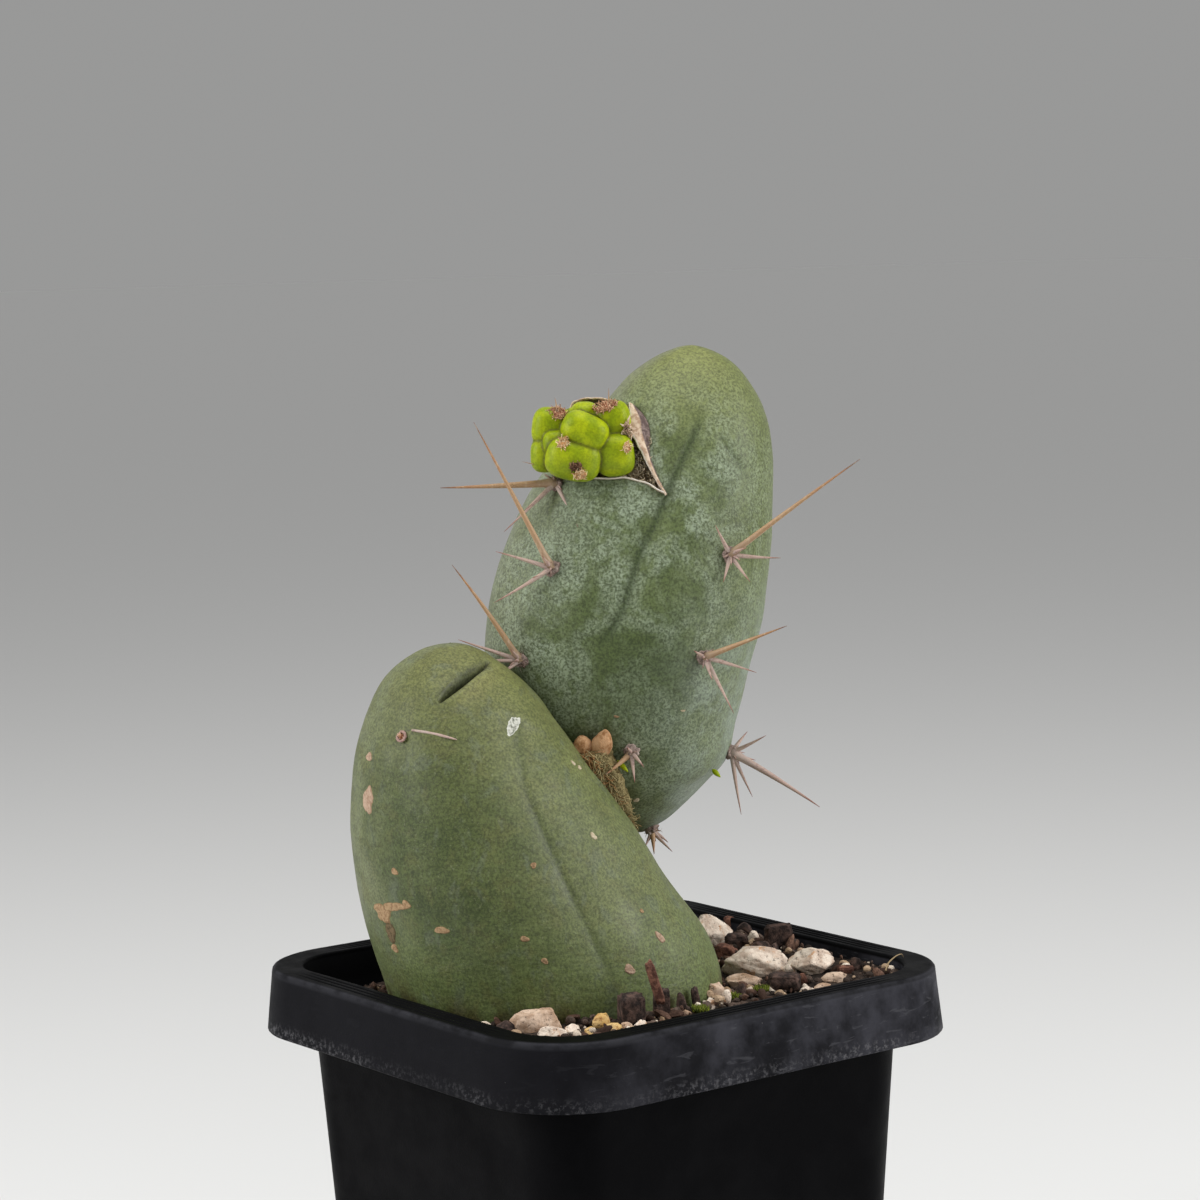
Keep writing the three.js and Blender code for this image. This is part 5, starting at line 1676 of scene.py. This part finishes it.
def bud_finish():
    f = Finish("bud_skin", 0.42, subsurface=0.12, specular=0.16)
    f.colour = f.mix((0.25, 0.33, 0.003), (0.38, 0.45, 0.005), f.step(f.noise(2.2, 3, 0.5), 0.35, 0.65))
    # Darker towards the bottom: partly its own darker green, partly painted shade.
    f.tint((0.2, 0.27, 0.014), f.times(f.value("low"), f.step(f.noise(3, 3, 0.5), 0.3, 0.65, 0.2, 0.9)))
    # Painted shade in the creases between the bumps.
    f.tint((0.07, 0.075, 0.008), f.value("crease"), 0.75)
    near_crease = f.step(f.value("crease"), 0.0, 0.5)
    freckles = f.times(f.step(f.noise(0.3, 2, 0.6), 0.6, 0.68), near_crease)
    f.tint((0.12, 0.05, 0.01), freckles, 0.8)
    f.grain(0.35, 0.25)
    f.bump(f.noise(0.5, 3, 0.6), 0.06)
    return f.done()


def scar_finish(kind):
    """A crust: its paler and darker parts and the colour of its rim."""
    tones = {
        "tan": ((0.4, 0.27, 0.15), (0.25, 0.15, 0.08), (0.2, 0.13, 0.06)),
        "pink": ((0.46, 0.33, 0.24), (0.33, 0.21, 0.14), (0.26, 0.17, 0.1)),
        "brown": ((0.17, 0.12, 0.065), (0.08, 0.06, 0.03), (0.07, 0.055, 0.025)),
        "cream": ((0.6, 0.52, 0.38), (0.42, 0.34, 0.22), (0.34, 0.28, 0.17)),
        "white": ((0.6, 0.6, 0.53), (0.15, 0.16, 0.12), (0.75, 0.75, 0.68)),
    }
    pale, dark, rim = tones[kind]
    f = Finish("scar_" + kind, 0.85, specular=0.2)
    f.colour = f.mix(dark, pale, f.step(f.noise(0.5, 4, 0.65), 0.35, 0.6))
    f.tint(rim, f.step(f.value("value"), 0.7, 0.9), 0.8)
    f.bump(f.noise(0.3, 4, 0.6), 0.08)
    return f.done()


def spine_finish():
    f = Finish("spine", 0.45, subsurface=0.05, specular=0.4)
    along = f.value("value")
    f.colour = f.mix((0.36, 0.25, 0.16), (0.38, 0.23, 0.12), f.step(along, 0.02, 0.3))
    f.tint((0.34, 0.17, 0.08), f.step(along, 0.5, 0.8))
    f.tint((0.13, 0.04, 0.02), f.step(along, 0.8, 0.98))
    f.tint((0.52, 0.4, 0.27), f.step(f.noise(0.5, 3, 0.6, (1, 1, 4)), 0.5, 0.72), 0.45)
    f.bump(f.noise(0.25, 2, 0.5), 0.02)
    return f.done()


def pale_spine_finish():
    f = Finish("pale_spine", 0.55, subsurface=0.05, specular=0.35)
    along = f.value("value")
    f.colour = f.mix((0.46, 0.36, 0.31), (0.45, 0.32, 0.27), f.step(along, 0.1, 0.5))
    f.tint((0.24, 0.09, 0.07), f.step(along, 0.65, 1))
    f.tint((0.26, 0.15, 0.13), f.step(f.noise(0.7, 3, 0.6), 0.52, 0.68), 0.6)
    return f.done()


def wool_finish():
    f = Finish("wool", 0.95, specular=0.15)
    f.colour = f.mix((0.15, 0.095, 0.08), (0.36, 0.28, 0.24), f.step(f.noise(0.5, 4, 0.7), 0.35, 0.62))
    f.tint((0.48, 0.4, 0.35), f.step(f.value("value"), 0.35, 1), 0.6)
    f.bump(f.noise(0.2, 4, 0.7), 0.1)
    return f.done()


def tuft_finish(tone):
    """Wool whose hairs run from dark to pale."""
    tones = {
        "rust": ((0.24, 0.075, 0.03), (0.85, 0.56, 0.36)),
        "brown": ((0.05, 0.02, 0.012), (0.3, 0.17, 0.1)),
        "cream": ((0.55, 0.25, 0.08), (0.95, 0.78, 0.5)),
        "olive": ((0.12, 0.08, 0.035), (0.75, 0.64, 0.45)),
    }
    dark, pale = tones[tone]
    f = Finish("tuft_" + tone, 0.9, specular=0.15)
    f.colour = f.mix(dark, pale, f.step(f.value("value"), 0.05, 1))
    f.bump(f.noise(0.2, 4, 0.7), 0.08)
    return f.done()


def torn_skin_finish():
    """Plum from the root to the fold, where the value is 0.5, and cream from there to the edge."""
    f = Finish("torn_skin", 0.75, subsurface=0.05, specular=0.3)
    side = f.value("value")
    cream = f.mix((0.4, 0.26, 0.17), (0.66, 0.52, 0.38), f.step(f.noise(0.9, 4, 0.65), 0.38, 0.6))
    plum = f.mix((0.085, 0.055, 0.05), (0.23, 0.17, 0.15), f.step(f.noise(0.6, 4, 0.65), 0.4, 0.65))
    f.colour = f.mix(plum, cream, f.step(side, 0.42, 0.56))
    f.tint((0.12, 0.07, 0.04), f.step(f.noise(0.4, 3, 0.7), 0.62, 0.72), 0.4)
    f.tint((0.8, 0.75, 0.66), f.step(side, 0.86, 0.97), 0.8)
    f.bump(f.noise(0.4, 4, 0.6), 0.12)
    return f.done()


def cork_finish():
    f = Finish("cork", 0.9, specular=0.2)
    f.colour = f.mix((0.26, 0.12, 0.045), (0.5, 0.29, 0.15), f.step(f.noise(1, 4, 0.65), 0.35, 0.6))
    pale_grain = f.step(f.noise(0.4, 3, 0.6), 0.5, 0.7, 0, 0.6)
    f.tint((0.5, 0.38, 0.25), f.times(f.value("value"), pale_grain))
    f.bump(f.noise(0.35, 4, 0.65), 0.16)
    return f.done()


def strip_finish():
    """Olive cork with an orange-brown left edge, where the value is 1."""
    f = Finish("cork_strip", 0.9, specular=0.2)
    f.colour = f.mix((0.12, 0.09, 0.035), (0.3, 0.24, 0.11), f.step(f.noise(0.9, 5, 0.7), 0.38, 0.62))
    rust = f.mix((0.16, 0.07, 0.02), (0.34, 0.18, 0.07), f.step(f.noise(0.6, 3, 0.6), 0.4, 0.6))
    f.tint(rust, f.step(f.value("value"), 0.5, 0.85))
    f.bump(f.noise(0.4, 4, 0.7), 0.3)
    return f.done()


def fibre_finish(tone):
    dark, pale = {"olive": ((0.13, 0.1, 0.035), (0.5, 0.41, 0.21)),
                  "rust": ((0.16, 0.07, 0.02), (0.5, 0.28, 0.12)),
                  "pale": ((0.3, 0.22, 0.12), (0.45, 0.36, 0.22))}[tone]
    f = Finish("fibre_" + tone, 0.85, specular=0.25)
    f.colour = f.mix(dark, pale, f.value("value"))
    return f.done()


def stone_finish(tone):
    tones = {
        "cream": ((0.54, 0.41, 0.32), (0.84, 0.72, 0.6), (0.55, 0.26, 0.1)),
        "tan": ((0.4, 0.26, 0.17), (0.64, 0.48, 0.36), (0.32, 0.15, 0.06)),
        "ochre": ((0.5, 0.3, 0.09), (0.72, 0.5, 0.22), (0.36, 0.16, 0.05)),
    }
    dark, pale, rust = tones[tone]
    f = Finish("stone_" + tone, 0.9, specular=0.25)
    f.colour = f.mix(dark, pale, f.step(f.noise(2.2, 5, 0.6), 0.35, 0.6))
    f.tint(rust, f.step(f.noise(1.6, 5, 0.65, distortion=0.7), 0.56, 0.68), 0.75)
    pits = f.step(f.noise(0.45, 3, 0.6), 0.28, 0.42)
    f.tint((0.1, 0.07, 0.05), f.less(pits), 0.6)
    f.bump(pits, 0.12)
    f.bump(f.noise(0.7, 5, 0.65), 0.22)
    return f.done()


def bark_finish(tone):
    dark, pale = {"brown": ((0.018, 0.011, 0.009), (0.11, 0.066, 0.052)),
                  "red": ((0.06, 0.022, 0.014), (0.24, 0.11, 0.07))}[tone]
    f = Finish("bark_" + tone, 0.85, specular=0.3)
    f.colour = f.mix(dark, pale, f.step(f.noise(1, 5, 0.65), 0.38, 0.68))
    f.bump(f.noise(0.5, 5, 0.65), 0.2)
    return f.done()


def soil_finish():
    f = Finish("soil", 0.95, specular=0.2)
    lumps = f.step(f.noise(1.2, 5, 0.7), 0.4, 0.68)
    f.colour = f.mix((0.02, 0.014, 0.011), (0.075, 0.052, 0.04), lumps)
    f.bump(f.noise(0.6, 5, 0.7), 0.4)
    return f.done()


def crumb_finish(tone):
    tones = {
        "dark": ((0.026, 0.018, 0.014), (0.16, 0.11, 0.085)),
        "bark": ((0.035, 0.018, 0.012), (0.2, 0.11, 0.075)),
        "tan": ((0.3, 0.2, 0.12), (0.6, 0.44, 0.3)),
        "cream": ((0.5, 0.4, 0.3), (0.82, 0.72, 0.6)),
    }
    dark, pale = tones[tone]
    f = Finish("crumbs_" + tone, 0.9, specular=0.25)
    f.colour = f.mix(dark, pale, f.value("value"))
    f.tint(dark, f.less(f.step(f.noise(0.5, 4, 0.65), 0.4, 0.6)), 0.6)
    f.bump(f.noise(0.35, 4, 0.65), 0.12)
    return f.done()


def moss_finish():
    f = Finish("moss", 0.8, specular=0.2)
    f.colour = f.mix((0.03, 0.045, 0.005), (0.17, 0.2, 0.02), f.value("value"))
    return f.done()


def plastic_finish():
    """Black plastic, greyer and scuffed on the skirt, more so towards the right: the skirt's grey
    clouds are partly a painted sheen, the brightening towards the right is painted light, and a painted
    highlight runs along the rim's top edge.
    """
    f = Finish("pot_plastic", 0.5, specular=0.025)
    height = f.height()
    shade = f.step(f.noise(12, 3, 0.6), 0.35, 0.65)
    f.colour = f.mix((0.002, 0.002, 0.0024), (0.0034, 0.0034, 0.0039), shade)
    # The skirt is painted greyer, with clouds that are partly its cloudy plastic and partly a painted
    # sheen.
    on_skirt = f.times(f.step(height, 65, 65.4), f.less(f.step(height, 74.2, 74.6)))
    clouds_and_sheen = f.step(f.noise(11, 5, 0.62), 0.34, 0.66)
    # Painted light: the clouds and the scuffs grow brighter towards the right face.
    to_right = f.sum(f.times(f.value("to_right"), 0.95), 0.05)
    f.tint((0.0075, 0.0075, 0.009), on_skirt)
    f.tint((0.044, 0.044, 0.053), f.times(f.times(on_skirt, clouds_and_sheen), f.times(to_right, 0.9)))
    scuffs = f.step(f.noise(3, 4, 0.6, (1.6, 1.6, 0.35), 0.8), 0.6, 0.66)
    f.tint((0.07, 0.07, 0.078), f.times(f.times(on_skirt, scuffs), f.times(to_right, 0.4)))
    low_skirt = f.times(on_skirt, f.less(f.step(height, 66, 68.2)))
    chalk = f.step(f.noise(0.8, 6, 0.75), 0.48, 0.62)
    broken = f.step(f.noise(18, 3, 0.5), 0.38, 0.6, 0.2, 1)
    f.tint((0.12, 0.118, 0.125), f.times(f.times(low_skirt, chalk), f.times(broken, 0.7)))
    specks = f.step(f.noise(0.7, 2, 0.5), 0.77, 0.82)
    f.tint((0.14, 0.135, 0.13), f.times(specks, f.times(on_skirt, 0.6)))
    # Painted highlight along the rim's outer top edge, broken up by noise.
    rim_glint = f.times(f.value("rim_highlight"), f.step(f.noise(4, 4, 0.6), 0.35, 0.65, 0.3, 1))
    f.tint((0.045, 0.045, 0.052), rim_glint, 0.7)
    f.bump(f.noise(0.35, 3, 0.6), 0.025)
    return f.done(f.step(f.noise(5, 4, 0.6), 0.3, 0.7, 0.42, 0.56))


# Stage


# Half the floor's side, in metres.
FLOOR_HALF = 20
FLOOR_COLOUR = (0.7, 0.7, 0.69)
SKY_LIGHT = 0.44
# The backdrop has the colour of the far floor, so that no edge shows between the two.
BACKDROP_SHARE = 0.72


def make_stage():
    """A plain pale floor."""
    size = FLOOR_HALF
    mesh = bpy.data.meshes.new("floor")
    corners = [(-size, -size, 0), (size, -size, 0), (size, size, 0), (-size, size, 0)]
    mesh.from_pydata(corners, [], [(0, 1, 2, 3)])
    f = Finish("floor", 0.8, specular=0.2)
    f.colour = FLOOR_COLOUR
    mesh.materials.append(f.done())
    floor = bpy.data.objects.new("floor", mesh)
    bpy.context.scene.collection.objects.link(floor)


def make_world():
    """Even white light from all round, with a greyer backdrop for the camera."""
    world = bpy.data.worlds.new("studio")
    bpy.context.scene.world = world
    world.use_nodes = True
    tree = world.node_tree
    lighting = tree.nodes["Background"]
    lighting.inputs["Color"].default_value = (1, 1, 1, 1)
    lighting.inputs["Strength"].default_value = SKY_LIGHT
    seen = tree.nodes.new("ShaderNodeBackground")
    seen.inputs["Color"].default_value = (1, 1, 0.99, 1)
    seen.inputs["Strength"].default_value = SKY_LIGHT * BACKDROP_SHARE
    light_path = tree.nodes.new("ShaderNodeLightPath")
    chosen = tree.nodes.new("ShaderNodeMixShader")
    tree.links.new(light_path.outputs["Is Camera Ray"], chosen.inputs["Fac"])
    tree.links.new(lighting.outputs[0], chosen.inputs[1])
    tree.links.new(seen.outputs[0], chosen.inputs[2])
    tree.links.new(chosen.outputs[0], tree.nodes["World Output"].inputs["Surface"])


# Soft lights: place in the plant's frame, size and power in watts.
LIGHTS = {
    "left_window": ((-600, -190, 380), 420, 3.3),
    "right_window": ((630, -170, 350), 420, 3.5),
    "top_window": ((20, -60, 720), 460, 2),
}
LIGHT_AIM = (0, 0, 105)


def make_lights():
    for name, (place, size, power) in LIGHTS.items():
        data = bpy.data.lights.new(name, "AREA")
        data.shape = "SQUARE"
        data.size = size * MM
        data.energy = power
        light = bpy.data.objects.new(name, data)
        where, aim = to_row([place, LIGHT_AIM])
        light.location = where
        light.rotation_mode = "QUATERNION"
        light.rotation_quaternion = Vector(aim - where).to_track_quat("-Z", "Y")
        bpy.context.scene.collection.objects.link(light)


def make_camera():
    """The photograph's view, turned about the pot's axis and tipped by the roll."""
    azimuth, elevation, roll = [math.radians(CAMERA[key]) for key in ("azimuth", "elevation", "roll")]
    back = Vector((math.sin(azimuth) * math.cos(elevation), -math.cos(azimuth) * math.cos(elevation),
                   math.sin(elevation)))
    level = Vector((math.cos(azimuth), math.sin(azimuth), 0))
    above = back.cross(level)
    right = level * math.cos(roll) + above * math.sin(roll)
    up = above * math.cos(roll) - level * math.sin(roll)
    data = bpy.data.cameras.new("camera")
    data.lens = CAMERA["lens"]
    data.sensor_width = 36
    data.clip_start = 0.01
    camera = bpy.data.objects.new("camera", data)
    where = back * CAMERA["distance"] + right * CAMERA["sideways"] + Vector((0, 0, CAMERA["height"]))
    turned = Matrix((right, up, back)).transposed().to_4x4()
    camera.matrix_world = Matrix.Translation(where * MM) @ turned
    bpy.context.scene.collection.objects.link(camera)
    bpy.context.scene.camera = camera


make_camera()
make_lower_stem()
make_upper_stem()
make_scars()
make_leaves()
make_bud()
make_bud_tufts()
make_torn_skin()
make_hole_fibres()
make_joint()
make_areoles()
make_soil()
make_stones()
make_pebbles()
make_bark()
make_litter()
make_moss()
make_rim_fibre()
make_pot()
make_stage()
make_world()
make_lights()
bpy.context.scene.view_settings.view_transform = "Standard"
